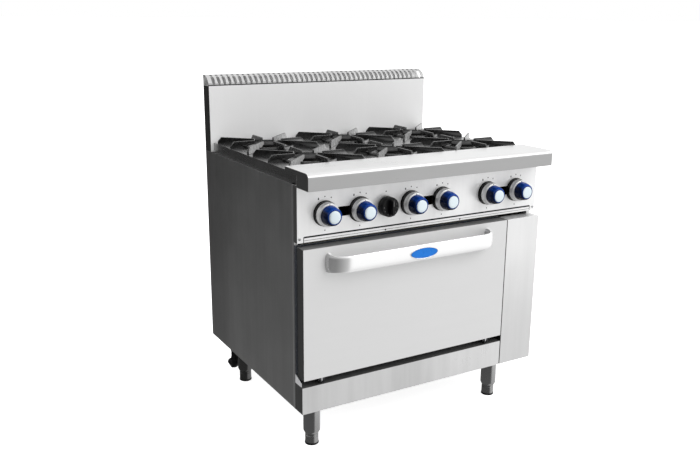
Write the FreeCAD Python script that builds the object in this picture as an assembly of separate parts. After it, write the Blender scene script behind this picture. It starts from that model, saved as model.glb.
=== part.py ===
import FreeCAD, Part
import math
import os

# Commercial gas range: six open burners over a drop-down-door gas oven, on adjustable legs.
# Millimetres, +Z up, +X to the right of someone facing the range, front towards -Y.
# While modelling, y = 0 is the face of the control panel; save() moves every piece so that
# the origin ends up under the middle of the whole range, on the floor.

# ---------------------------------------------------------------- driving dimensions
WIDTH = 900.0
SHEET = 1.5                      # folded stainless sheet
RUN_CLEAR = 0.05                 # radial clearance of a shaft that turns or slides in a bore
PART_GAP = 0.3                   # smallest gap between pieces that move apart

# levels above the floor
LEG_TOP = 133.0                  # lower edge of the casing
KICK_TOP = 220.0
DOOR_BOTTOM = 241.0
DOOR_TOP = 648.0
PANEL_BOTTOM = 662.0
SIDE_TOP = 831.0                 # seam between casing and hob
HOB_TOP = 862.0
RAIL_BOTTOM = 826.0
RAIL_TOP = 876.0
RISER_TOP = 1058.0

# depths, measured from the control panel face
DOOR_FRONT = -26.0               # door, kick panel and service panel share this plane
DOOR_BACK = 13.0
FRAME_FACE = 20.5                # face of the oven mouth flange
CASING_FRONT = 22.0              # front edge of the side panels
CASING_BACK = 719.0
RAIL_FRONT = -69.4
RAIL_BACK = 76.0
RISER_DEPTH = 53.0

# hob
RAIL_RADIUS = 14.0
HOB_INSET = 11.0                 # hob sides stand in from the casing sides
GRATE_COLUMNS = 3
GRATE_ROWS = 2
GRATE_SIDE_GAP = 12.0
GRATE_GAP = 26.0
GRATE_FRONT_GAP = 2.0
GRATE_BACK_GAP = 14.0
GRATE_HEIGHT = 23.0
GRATE_HUB_R = 49.0
GRATE_RING_R = 88.0
GRATE_BAR = 8.0
FIN = 7.0
FIN_TIP = 10.0
BURNER_BORE_R = 24.0
BURNER_CUP_R = 40.0
BURNER_CAP_R = 45.0
PILOT_R = 4.0
PILOT_OFFSET = 70.0

# controls
KNOB_Z = 742.0
KNOB_SPACING = 118.0             # between the two knobs of one column
KNOB_RING_R = 37.0
KNOB_RING_H = 10.0
KNOB_DIAL_R = 36.0
KNOB_DIAL_H = 16.0
KNOB_GRIP_R = 30.0
KNOB_TIP_R = 26.0
KNOB_FACE_R = 20.0
KNOB_LENGTH = 58.0
KNOB_STAND_OFF = 3.6
KNOB_TRAVEL = 3.0
THERMOSTAT_R = 31.0
THERMOSTAT_LENGTH = 42.0
THERMOSTAT_SKIRT = 24.0
SPINDLE_R = 5.0
PLUG_R = 10.0
PLUG_START = 24.0
PLUG_LENGTH = 22.0
VALVE_HALF_W = 17.0
VALVE_TOP_RISE = 20.0
VALVE_FRONT = 12.0
VALVE_BACK = 60.0
MANIFOLD = 25.0
MANIFOLD_DROP = 15.0             # top of the manifold below the knob axis
FEED_R = 4.0
FEED_Z = 792.0
WINDOW_W = 82.0
WINDOW_H = 29.0

# crumb tray
TRAY_INSET = 20.0                # panel width left beside the tray front
TRAY_FRONT_H = 14.0
TRAY_SLIT = 3.0
TRAY_LENGTH = 608.0
TRAY_SIDE_GAP = 2.0
RUNNER_LIP = 15.0                # how far a runner reaches under the tray
TRAY_WALL_H = 12.0

# oven
DOOR_REVEAL = 6.0                # casing edge to door
SERVICE_W = 136.0
PANEL_GAP = 3.0
CAVITY_MARGIN = 52.5             # door edge to cavity side
CAVITY_DEPTH = 580.0
CAVITY_LIFT = 21.0               # door bottom to cavity floor
CAVITY_DROP = 26.0               # door top to cavity roof
INSULATION = 25.0
SOLE_HEIGHT = 38.0
SOLE_GAP = 2.0
SEAL_W = 12.0
OVEN_BURNER_R = 10.0
OVEN_BURNER_SPREAD = 200.0
OVEN_BURNER_INSET = 60.0
RACK_Z = 450.0
RACK_WIRE_R = 3.0
RACK_RAIL = 12.0
DUCT_W = 300.0
DUCT_H = 46.0
DUCT_DEPTH = 24.0

# door and handle
HINGE_Y = -18.0
HINGE_Z = 232.0
HINGE_INSET = 62.0               # door edge to hinge arm
HINGE_PIN_R = 4.0
HINGE_ARM_W = 6.0
HINGE_EAR_W = 5.0
HINGE_EAR_R = 8.0
HINGE_CLEAR = 0.4
HANDLE_SPAN = 614.0
HANDLE_Z = 600.0
HANDLE_H = 50.0
HANDLE_REACH = 49.0              # door face to the front of the bar
HANDLE_THICK = 12.0
HANDLE_BEND = 46.0
HANDLE_FOOT_W = 26.0             # the ends flare where they meet the door
HANDLE_FOOT_H = 60.0
HANDLE_FOOT = 6.0
BADGE_W = 100.0
BADGE_H = 34.0
BADGE_THICK = 3.0
BADGE_SHIFT = 10.0               # badge right of the middle of the handle
SCREW_R = 4.0
SCREW_HEAD_R = 4.5
SCREW_HEAD = 2.0
SCREW_SHANK_R = 2.2
SCREW_SHANK = 8.0

# legs and gas inlet
LEG_R = 26.5
LEG_WALL = 2.0
LEG_END = 38.0
LEG_TAPER = 10.0
LEG_PLATE = 80.0
LEG_PLATE_H = 3.0
FOOT_R = 21.0
FOOT_RING_H = 6.0
FOOT_STEM_R = 8.0
FOOT_GRIP = 56.0
LEG_SIDE_INSET = 60.0
LEG_RIGHT_INSET = 135.0
LEG_FRONT_Y = 29.5
LEG_BACK_INSET = 165.0
INLET_R = 13.22
INLET_THREAD = 20.0
INLET_X_INSET = 45.0
INLET_Y_INSET = 65.0
INLET_STEP = 42.0                # the fitting hangs this far in front of its pipe
INLET_Z = 36.0

# flue cap
CAP_INSET = 3.0
CAP_LIP = 10.0
CAP_RISE = 26.0
CAP_SHEET = 2.0
CAP_PITCH = 20.0
CAP_SLOT = 11.0

# chassis
TUBE = 25.0
TUBE_WALL = 2.0

# ---------------------------------------------------------------- derived places
HALF = WIDTH / 2
RISER_FRONT = CASING_BACK - RISER_DEPTH
BASE_Z = LEG_TOP + LEG_PLATE_H
INNER = HALF - SHEET

DOOR_X0 = -HALF + DOOR_REVEAL
SERVICE_X0 = HALF - SERVICE_W
DOOR_X1 = SERVICE_X0 - PANEL_GAP
DOOR_MID = (DOOR_X0 + DOOR_X1) / 2

CAVITY_X0 = DOOR_X0 + CAVITY_MARGIN
CAVITY_X1 = DOOR_X1 - CAVITY_MARGIN
CAVITY_Z0 = DOOR_BOTTOM + CAVITY_LIFT
CAVITY_Z1 = DOOR_TOP - CAVITY_DROP
CAVITY_Y1 = FRAME_FACE + CAVITY_DEPTH

OVEN_BURNER_Z = CAVITY_Z0 + SOLE_HEIGHT / 2
INSULATION_BACK = CAVITY_Y1 + SHEET + INSULATION

GRATE_W = (WIDTH - 2 * GRATE_SIDE_GAP - (GRATE_COLUMNS - 1) * GRATE_GAP) / GRATE_COLUMNS
GRATE_Y0 = RAIL_BACK + GRATE_FRONT_GAP
GRATE_Y1 = RISER_FRONT - GRATE_BACK_GAP
GRATE_D = (GRATE_Y1 - GRATE_Y0 - (GRATE_ROWS - 1) * GRATE_GAP) / GRATE_ROWS
GRATE_TOP = HOB_TOP + GRATE_HEIGHT
COLUMN_X = [-HALF + GRATE_SIDE_GAP + GRATE_W / 2 + i * (GRATE_W + GRATE_GAP)
            for i in range(GRATE_COLUMNS)]
ROW_Y = [GRATE_Y0 + GRATE_D / 2 + i * (GRATE_D + GRATE_GAP) for i in range(GRATE_ROWS)]
BURNERS = [(x, y) for x in COLUMN_X for y in ROW_Y]
KNOB_X = [x + side * KNOB_SPACING / 2 for x in COLUMN_X for side in (-1, 1)]
THERMOSTAT_X = (COLUMN_X[0] + COLUMN_X[1]) / 2
MANIFOLD_TOP = KNOB_Z - MANIFOLD_DROP

HANDLE_FRONT = DOOR_FRONT - HANDLE_REACH
FRONT_MOST = HANDLE_FRONT - BADGE_THICK
SHIFT_Y = -(FRONT_MOST + CASING_BACK) / 2

HINGE_X = [DOOR_X0 + HINGE_INSET, DOOR_X1 - HINGE_INSET]
LEGS = [(x, y) for x in (-HALF + LEG_SIDE_INSET, HALF - LEG_RIGHT_INSET)
        for y in (LEG_FRONT_Y, CASING_BACK - LEG_BACK_INSET)]
INLET_X = -HALF + INLET_X_INSET
INLET_Y = CASING_BACK - INLET_Y_INSET


# ---------------------------------------------------------------- helpers
def v(x, y, z):
    return FreeCAD.Vector(x, y, z)


X_AXIS = v(1, 0, 0)
Y_AXIS = v(0, 1, 0)
Z_AXIS = v(0, 0, 1)


def box(x0, x1, y0, y1, z0, z1):
    return Part.makeBox(x1 - x0, y1 - y0, z1 - z0, v(x0, y0, z0))


def rod(start, axis, length, radius):
    return Part.makeCylinder(radius, length, start, axis)


def rod_between(a, b, radius):
    return Part.makeCylinder(radius, (b - a).Length, a, b - a)


def joined(*shapes):
    return shapes[0].fuse(list(shapes[1:])).removeSplitter()


def bent_rod(points, radius):
    """Round bar through the points, with a ball at each corner."""
    pieces = [rod_between(a, b, radius) for a, b in zip(points, points[1:])]
    pieces += [Part.makeSphere(radius, p) for p in points[1:-1]]
    return joined(*pieces)


def outline(points):
    return Part.Face(Part.makePolygon(points + points[:1]))


def shell(x0, x1, y0, y1, z0, z1, open_side, wall=SHEET):
    """Folded box of sheet, open on the named sides (each one of -x +x -y +y -z +z)."""
    grow = {side: 1.0 if side in open_side else -wall for side in ("-x", "+x", "-y", "+y", "-z", "+z")}
    inner = box(x0 - grow["-x"], x1 + grow["+x"], y0 - grow["-y"], y1 + grow["+y"],
                z0 - grow["-z"], z1 + grow["+z"])
    return box(x0, x1, y0, y1, z0, z1).cut(inner)


def ring(centre, axis, length, outer, inner):
    return rod(centre, axis, length, outer).cut(rod(centre, axis, length, inner))


def save(name, *solids):
    shape = solids[0] if len(solids) == 1 else Part.makeCompound(list(solids))
    shape = shape.copy()
    shape.translate(v(0, SHIFT_Y, 0))
    shape.exportStep("parts/" + name + ".step")


# ---------------------------------------------------------------- casing
def chassis_frame():
    """Square-tube uprights and rails, the cross strip over the door and the tray runners."""
    def tube_x(x0, x1, y, z):
        bore = box(x0, x1, y + TUBE_WALL, y + TUBE - TUBE_WALL, z + TUBE_WALL, z + TUBE - TUBE_WALL)
        return box(x0, x1, y, y + TUBE, z, z + TUBE).cut(bore)

    def tube_y(x, y0, y1, z):
        bore = box(x + TUBE_WALL, x + TUBE - TUBE_WALL, y0, y1, z + TUBE_WALL, z + TUBE - TUBE_WALL)
        return box(x, x + TUBE, y0, y1, z, z + TUBE).cut(bore)

    def tube_z(x, y, z0, z1):
        bore = box(x + TUBE_WALL, x + TUBE - TUBE_WALL, y + TUBE_WALL, y + TUBE - TUBE_WALL, z0, z1)
        return box(x, x + TUBE, y, y + TUBE, z0, z1).cut(bore)

    front = CASING_FRONT + SHEET
    back = CASING_BACK - SHEET - TUBE
    low = BASE_Z + SHEET
    high = SIDE_TOP - TUBE
    bars = []
    for x in (-INNER, INNER - TUBE):
        bars += [tube_z(x, y, low, SIDE_TOP) for y in (front, back)]
        bars += [tube_y(x, front + TUBE, back, z) for z in (low, high)]
        runner_x = x if x < 0 else x - RUNNER_LIP
        runner_top = PANEL_BOTTOM - PART_GAP
        flat = box(runner_x, runner_x + TUBE + RUNNER_LIP, front + TUBE, TRAY_LENGTH,
                   runner_top - TUBE_WALL, runner_top)
        web_x = -INNER if x < 0 else INNER - TUBE_WALL
        web = box(web_x, web_x + TUBE_WALL, front + TUBE, TRAY_LENGTH, runner_top - TUBE / 2, runner_top)
        bars.append(joined(flat, web))
    for y in (front, back):
        bars += [tube_x(-INNER + TUBE, INNER - TUBE, y, z) for z in (low, high)]
    strip = box(-INNER + TUBE, INNER - TUBE, front, front + SHEET, DOOR_TOP + 6, PANEL_BOTTOM - 2)
    screw_holes = Part.makeCompound([rod(place, -Y_AXIS, SCREW_SHANK, SCREW_SHANK_R)
                                     for place in back_screw_places()])
    save("chassis_frame", strip, *[bar.cut(screw_holes) for bar in bars])


def side_panel(name, side):
    """Flat side of the casing with a narrow return along its front edge."""
    x_out = side * HALF
    x_in = side * INNER
    flange = side * (INNER - 12)
    sheet = box(min(x_out, x_in), max(x_out, x_in), CASING_FRONT, CASING_BACK, LEG_TOP, SIDE_TOP)
    edge = box(min(x_in, flange), max(x_in, flange), CASING_FRONT, CASING_FRONT + SHEET, LEG_TOP, SIDE_TOP)
    save(name, joined(sheet, edge))


def back_panel():
    panel = box(-INNER, INNER, CASING_BACK - SHEET, CASING_BACK, LEG_TOP, SIDE_TOP)
    slots = []
    for row in range(5):
        for column in range(-3, 4):
            x = column * 90.0
            z = LEG_TOP + 60 + row * 22
            slots.append(box(x - 30, x + 30, CASING_BACK - 5, CASING_BACK + 5, z, z + 7))
    sinks = [rod(p, Y_AXIS, SHEET, SCREW_HEAD_R) for p in back_screw_places()]
    save("back_panel", panel.cut(Part.makeCompound(slots + sinks)))


def base_pan():
    plate = box(-INNER, INNER, CASING_FRONT + SHEET, CASING_BACK - SHEET, BASE_Z, BASE_Z + SHEET)
    save("base_pan", plate.cut(rod(v(INLET_X, INLET_Y, BASE_Z - 1), Z_AXIS, 5, INLET_R + 1)))


def knob_places():
    return [(x, SPINDLE_R + 1.0) for x in KNOB_X + [THERMOSTAT_X]]


def control_panel():
    """Front plate with folded ends, spindle holes, pilot windows and the notch for the tray front."""
    front = box(-HALF, HALF, 0, SHEET, PANEL_BOTTOM, HOB_TOP)
    ends = [box(min(s * HALF, s * INNER), max(s * HALF, s * INNER), SHEET, CASING_FRONT,
                PANEL_BOTTOM, SIDE_TOP) for s in (-1, 1)]
    panel = joined(front, *ends)
    cuts = [box(-HALF + TRAY_INSET, HALF - TRAY_INSET, -1, SHEET + 1,
                PANEL_BOTTOM - 1, PANEL_BOTTOM + TRAY_FRONT_H + TRAY_SLIT)]
    cuts += [rod(v(x, -1, KNOB_Z), Y_AXIS, SHEET + 2, r) for x, r in knob_places()]
    cuts += [box(x - WINDOW_W / 2, x + WINDOW_W / 2, -1, SHEET + 1,
                 KNOB_Z - WINDOW_H / 2, KNOB_Z + WINDOW_H / 2) for x in COLUMN_X]
    cuts += [rod(place, Y_AXIS, SHEET, SCREW_SHANK_R) for place in front_screw_places()]
    save("control_panel", panel.cut(Part.makeCompound(cuts)))


def rail_profile(grow, x):
    """Rail section as a face at x, offset inwards by grow."""
    y0, y1 = RAIL_FRONT + grow, RAIL_BACK - grow
    z0, z1 = RAIL_BOTTOM + grow, RAIL_TOP - grow
    radius = RAIL_RADIUS - grow
    step_y, step_z = -grow, HOB_TOP + grow
    centre = v(x, y0 + radius, z1 - radius)
    mid = centre + v(0, -radius * math.cos(math.pi / 4), radius * math.sin(math.pi / 4))
    start = v(x, y0, z1 - radius)
    end = v(x, y0 + radius, z1)
    corners = [end, v(x, y1, z1), v(x, y1, step_z), v(x, step_y, step_z), v(x, step_y, z0),
               v(x, y0, z0), start]
    edges = [Part.Arc(start, mid, end).toShape()]
    edges += [Part.LineSegment(a, b).toShape() for a, b in zip(corners, corners[1:])]
    return Part.Face(Part.Wire(edges))


def front_rail():
    """Hollow bull-nosed rail with closed ends that hooks over the panel and the hob front."""
    outer = rail_profile(0, -HALF).extrude(v(WIDTH, 0, 0))
    inner = rail_profile(SHEET, -INNER).extrude(v(2 * INNER, 0, 0))
    save("front_rail", outer.cut(inner))


def kick_panel():
    x1 = DOOR_X1
    tray = shell(-HALF, x1, DOOR_FRONT, CASING_FRONT, LEG_TOP, KICK_TOP, ("+y", "-z", "+x"))
    save("kick_panel", tray)


def service_panel():
    tray = shell(SERVICE_X0, HALF, DOOR_FRONT, CASING_FRONT, LEG_TOP, DOOR_TOP, ("+y", "-z"))
    save("service_panel", tray)


# ---------------------------------------------------------------- hob
def cooktop():
    """Pressed hob: flat top with deep sides, a hole for each burner and each pilot."""
    side = HALF - HOB_INSET
    pan = shell(-side, side, SHEET, RISER_FRONT, SIDE_TOP, HOB_TOP, ("-z",))
    holes = [rod(v(x, y, HOB_TOP - 5), Z_AXIS, 10, BURNER_BORE_R) for x, y in BURNERS]
    holes += [rod(pilot_place(x, y, HOB_TOP - 5), Z_AXIS, 10, PILOT_R) for x, y in BURNERS]
    save("cooktop", pan.cut(Part.makeCompound(holes)))


def pilot_place(x, y, z):
    angle = math.radians(22.5)
    return v(x + PILOT_OFFSET * math.sin(angle), y - PILOT_OFFSET * math.cos(angle), z)


def burners():
    """Burner cup with its mixing tube through the hob, and the cap that spreads the flame."""
    cups = []
    caps = []
    for x, y in BURNERS:
        tube = rod(v(x, y, HOB_TOP - 30), Z_AXIS, 30, BURNER_BORE_R)
        cup = rod(v(x, y, HOB_TOP), Z_AXIS, 7, BURNER_CUP_R)
        bore = rod(v(x, y, HOB_TOP - 26), Z_AXIS, 40, BURNER_BORE_R - 3)
        cups.append(joined(tube, cup).cut(bore))
        disc = rod(v(x, y, HOB_TOP + 7), Z_AXIS, 4, BURNER_CAP_R)
        crown = Part.makeCone(BURNER_CAP_R, BURNER_CAP_R - 12, 3, v(x, y, HOB_TOP + 11))
        caps.append(joined(disc, crown))
    save("burner_bases", *cups)
    save("burner_caps", *caps)


def pilot_lights():
    pilots = []
    for x, y in BURNERS:
        tube = rod(pilot_place(x, y, HOB_TOP - 24), Z_AXIS, 24, PILOT_R)
        head = rod(pilot_place(x, y, HOB_TOP), Z_AXIS, 8, PILOT_R + 2)
        pilots.append(joined(tube, head))
    save("pilot_lights", *pilots)


def grate(name, x, y):
    """Cast grate: eight radial fins, tall outside and shallow at the hub, on one low ring."""
    base = HOB_TOP + PART_GAP
    half_w, half_d = GRATE_W / 2, GRATE_D / 2
    pieces = [ring(v(0, 0, base), Z_AXIS, GRATE_BAR, GRATE_RING_R + GRATE_BAR / 2,
                   GRATE_RING_R - GRATE_BAR / 2)]
    corner = math.hypot(half_w, half_d) - 10
    for i in range(8):
        side_reach = half_w if i % 4 == 0 else half_d
        reach = corner if i % 2 else side_reach
        heading = math.atan2(half_d, half_w)
        angle = [0, heading, math.pi / 2, math.pi - heading, math.pi, math.pi + heading,
                 -math.pi / 2, -heading][i]
        profile = outline([
            v(GRATE_HUB_R, -FIN / 2, GRATE_TOP), v(reach - 12, -FIN / 2, GRATE_TOP),
            v(reach, -FIN / 2, base + GRATE_BAR), v(reach, -FIN / 2, base),
            v(GRATE_RING_R + 6, -FIN / 2, base), v(GRATE_RING_R - 8, -FIN / 2, base + 4),
            v(GRATE_HUB_R, -FIN / 2, GRATE_TOP - FIN_TIP)])
        fin = profile.extrude(v(0, FIN, 0))
        fin.rotate(v(0, 0, 0), Z_AXIS, math.degrees(angle))
        pieces.append(fin)
    body = joined(*pieces)
    body.translate(v(x, y, 0))
    save(name, body)


def riser():
    """Upright behind the hob that carries the flue gases to the louvred cap."""
    tube = shell(-HALF, HALF, RISER_FRONT, CASING_BACK, SIDE_TOP, RISER_TOP, ("-z", "+z"))
    lip = box(-HALF, HALF, RISER_FRONT, RISER_FRONT + CAP_INSET + 2 * CAP_SHEET, RISER_TOP - SHEET, RISER_TOP)
    save("splashback", joined(tube, lip))


def flue_cap():
    """Curved louvred cap: a short upright lip, then a quarter arc back to the rear edge."""
    y0 = RISER_FRONT + CAP_INSET
    z0 = RISER_TOP
    z1 = z0 + CAP_LIP
    run = CASING_BACK - y0

    def section(grow, x):
        a, b = v(x, y0 + grow, z0 - grow), v(x, y0 + grow, z1)
        end = v(x, CASING_BACK - grow, z1 + CAP_RISE - grow)
        mid = v(x, y0 + grow + 0.293 * run, z1 + 0.62 * CAP_RISE - grow)
        foot = v(x, CASING_BACK - grow, z0 - grow)
        edges = [Part.LineSegment(a, b).toShape(), Part.Arc(b, mid, end).toShape(),
                 Part.LineSegment(end, foot).toShape(), Part.LineSegment(foot, a).toShape()]
        return Part.Face(Part.Wire(edges))

    outer = section(0, -HALF).extrude(v(WIDTH, 0, 0))
    inner = section(CAP_SHEET, -HALF + CAP_SHEET).extrude(v(WIDTH - 2 * CAP_SHEET, 0, 0))
    cap = outer.cut(inner)
    count = int((WIDTH - 30) / CAP_PITCH)
    slots = []
    for i in range(count):
        x = (i - (count - 1) / 2) * CAP_PITCH
        slots.append(box(x - CAP_SLOT / 2, x + CAP_SLOT / 2, y0 - 5, CASING_BACK - 14,
                         z1 + 1, z1 + CAP_RISE + 5))
    save("flue_cap", cap.cut(Part.makeCompound(slots)))


def flue_duct():
    """Duct from the oven roof at the back up into the riser."""
    x0, x1 = DOOR_MID - DUCT_W / 2, DOOR_MID + DUCT_W / 2
    y0 = CAVITY_Y1 + SHEET
    y1 = RISER_FRONT + SHEET + DUCT_DEPTH
    z0 = CAVITY_Z1 - DUCT_H
    leg = shell(x0, x1, y0, y1, z0, z0 + DUCT_H, ("-y",))
    hole = box(x0 + SHEET, x1 - SHEET, RISER_FRONT + 2 * SHEET, y1 - SHEET, z0 + SHEET, z0 + DUCT_H + 1)
    stack = shell(x0, x1, RISER_FRONT + SHEET, y1, z0 + DUCT_H, SIDE_TOP + 40, ("-z", "+z"))
    save("flue_duct", joined(leg.cut(hole), stack))


# ---------------------------------------------------------------- oven
def oven_feed_hole():
    start = v(DOOR_MID - OVEN_BURNER_SPREAD, CAVITY_Y1 - 5, OVEN_BURNER_Z)
    return rod(start, Y_AXIS, INSULATION + 20, FEED_R)


def oven_liner():
    """Enamelled cavity with a flange around its mouth and an outlet at the top of its back."""
    box_part = shell(CAVITY_X0 - SHEET, CAVITY_X1 + SHEET, FRAME_FACE, CAVITY_Y1 + SHEET,
                     CAVITY_Z0 - SHEET, CAVITY_Z1 + SHEET, ("-y",))
    outlet = box(DOOR_MID - DUCT_W / 2 + SHEET, DOOR_MID + DUCT_W / 2 - SHEET, CAVITY_Y1 - 5,
                 CAVITY_Y1 + 5, CAVITY_Z1 - DUCT_H + SHEET, CAVITY_Z1 - SHEET)
    flange = box(-INNER, DOOR_X1, FRAME_FACE, FRAME_FACE + SHEET, KICK_TOP + 2, DOOR_TOP + 4)
    mouth = box(CAVITY_X0, CAVITY_X1, FRAME_FACE - 1, FRAME_FACE + SHEET + 1, CAVITY_Z0, CAVITY_Z1)
    save("oven_liner", joined(box_part, flange.cut(mouth)).cut(outlet).cut(oven_feed_hole()))


def oven_insulation():
    thick = INSULATION + SHEET
    wrap = shell(CAVITY_X0 - thick, CAVITY_X1 + thick, FRAME_FACE + SHEET, CAVITY_Y1 + thick,
                 CAVITY_Z0 - thick, CAVITY_Z1 + thick, ("-y",), INSULATION)
    duct = box(DOOR_MID - DUCT_W / 2, DOOR_MID + DUCT_W / 2, CAVITY_Y1, CAVITY_Y1 + thick + 1,
               CAVITY_Z1 - DUCT_H, CAVITY_Z1)
    save("oven_insulation", wrap.cut(duct).cut(oven_feed_hole()))


def oven_sole():
    """Removable steel floor over the burner, carried by its own two side legs."""
    x0, x1 = CAVITY_X0 + SOLE_GAP, CAVITY_X1 - SOLE_GAP
    sole = shell(x0, x1, FRAME_FACE + 6, CAVITY_Y1 - 10, CAVITY_Z0, CAVITY_Z0 + SOLE_HEIGHT,
                 ("-y", "+y", "-z"), 3.0)
    save("oven_sole", sole)


def oven_burner():
    """Two straight burner tubes joined across the back."""
    z = OVEN_BURNER_Z
    y0, y1 = FRAME_FACE + OVEN_BURNER_INSET, CAVITY_Y1 - OVEN_BURNER_INSET
    x0, x1 = DOOR_MID - OVEN_BURNER_SPREAD, DOOR_MID + OVEN_BURNER_SPREAD
    points = [v(x0, y0, z), v(x0, y1, z), v(x1, y1, z), v(x1, y0, z)]
    feet = [box(p.x - 6, p.x + 6, p.y - 10, p.y + 2, CAVITY_Z0, z) for p in points]
    save("oven_burner", joined(bent_rod(points, OVEN_BURNER_R), *feet))


def rack_guides():
    """Left and right ladders of wire that carry the racks."""
    y0, y1 = FRAME_FACE + 30, CAVITY_Y1 - 30
    z0, z1 = CAVITY_Z0 + SOLE_HEIGHT + 10, CAVITY_Z1 - 40
    levels = [RACK_Z - 70.0, RACK_Z - 12.0, RACK_Z + 60.0]
    wires = []
    for wall, inward in ((CAVITY_X0, 1), (CAVITY_X1, -1)):
        x = wall + inward * RACK_WIRE_R
        ledge_x = wall + inward * RACK_RAIL
        for y in (y0, (y0 + y1) / 2, y1):
            wires.append(rod(v(x, y, z0), Z_AXIS, z1 - z0, RACK_WIRE_R))
        for z in levels:
            near = x + inward * RACK_WIRE_R
            wires.append(box(min(near, ledge_x), max(near, ledge_x),
                             y0 - 10, y1 + 10, z - RACK_WIRE_R, z + RACK_WIRE_R))
    save("rack_guides", *wires)


def oven_rack():
    """Wire rack: a frame of four bars with cross wires."""
    inset = 2 * RACK_WIRE_R + PART_GAP
    x0, x1 = CAVITY_X0 + inset, CAVITY_X1 - inset
    y0, y1 = FRAME_FACE + 24, CAVITY_Y1 - 24
    z = RACK_Z - 12.0 + 2 * RACK_WIRE_R + PART_GAP
    r = RACK_WIRE_R
    corners = [v(x0 + r, y0 + r, z), v(x1 - r, y0 + r, z), v(x1 - r, y1 - r, z), v(x0 + r, y1 - r, z)]
    frame = joined(*[rod_between(a, b, r) for a, b in zip(corners, corners[1:] + corners[:1])],
                   *[Part.makeSphere(r, c) for c in corners])
    wires = []
    count = 16
    for i in range(1, count):
        x = x0 + r + (x1 - x0 - 2 * r) * i / count
        wires.append(rod(v(x, y0 + r, z), Y_AXIS, y1 - y0 - 2 * r, r * 0.8))
    save("oven_rack", joined(frame, *wires))


# ---------------------------------------------------------------- door
def door():
    """Folded outer skin, inner panel, insulation between them and the seal around the mouth."""
    skin = shell(DOOR_X0, DOOR_X1, DOOR_FRONT, DOOR_BACK - SHEET, DOOR_BOTTOM, DOOR_TOP, ("+y",))
    arm_slots = [box(x - HINGE_ARM_W / 2, x + HINGE_ARM_W / 2, DOOR_FRONT + SHEET, HINGE_Y + 6,
                     DOOR_BOTTOM - 1, DOOR_BOTTOM + SHEET + 1) for x in HINGE_X]
    screws = handle_screw_places()
    holes = [rod(v(x, DOOR_FRONT - 1, z), Y_AXIS, SHEET + 2, SCREW_R) for x, z in screws]
    save("door_skin", skin.cut(Part.makeCompound(arm_slots + holes)))

    save("door_liner", box(DOOR_X0, DOOR_X1, DOOR_BACK - SHEET, DOOR_BACK, DOOR_BOTTOM, DOOR_TOP))

    fill = box(DOOR_X0 + SHEET, DOOR_X1 - SHEET, DOOR_FRONT + SHEET, DOOR_BACK - SHEET,
               DOOR_BOTTOM + SHEET, DOOR_TOP - SHEET)
    pockets = [box(x - HINGE_ARM_W / 2, x + HINGE_ARM_W / 2, DOOR_FRONT + SHEET, HINGE_Y + 6,
                   DOOR_BOTTOM, DOOR_BOTTOM + 70) for x in HINGE_X]
    pockets += [rod(v(x, DOOR_FRONT, z), Y_AXIS, 8 + SHEET, SCREW_R * 2) for x, z in screws]
    save("door_insulation", fill.cut(Part.makeCompound(pockets)))

    outer = box(CAVITY_X0 - SEAL_W, CAVITY_X1 + SEAL_W, DOOR_BACK, FRAME_FACE - PART_GAP,
                CAVITY_Z0 - SEAL_W, CAVITY_Z1 + SEAL_W)
    mouth = box(CAVITY_X0, CAVITY_X1, DOOR_BACK - 1, FRAME_FACE + 1, CAVITY_Z0, CAVITY_Z1)
    save("door_seal", outer.cut(mouth))


def handle_screw_places():
    reach = (HANDLE_SPAN - HANDLE_THICK) / 2
    return [(DOOR_MID + side * reach, HANDLE_Z + dz) for side in (-1, 1) for dz in (-14.0, 14.0)]


def handle_face(span, front, bend, z):
    """Plan outline of one side of the bow: two legs, two bends and the straight grip."""
    x0, x1 = DOOR_MID - span / 2, DOOR_MID + span / 2
    k = bend * (1 - math.sqrt(0.5))
    a, b = v(x0, DOOR_FRONT, z), v(x0, front + bend, z)
    c, d = v(x0 + bend, front, z), v(x1 - bend, front, z)
    e, f = v(x1, front + bend, z), v(x1, DOOR_FRONT, z)
    edges = [Part.LineSegment(a, b).toShape(),
             Part.Arc(b, v(x0 + k, front + k, z), c).toShape(),
             Part.LineSegment(c, d).toShape(),
             Part.Arc(d, v(x1 - k, front + k, z), e).toShape(),
             Part.LineSegment(e, f).toShape(),
             Part.LineSegment(f, a).toShape()]
    return Part.Face(Part.Wire(edges))


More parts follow.
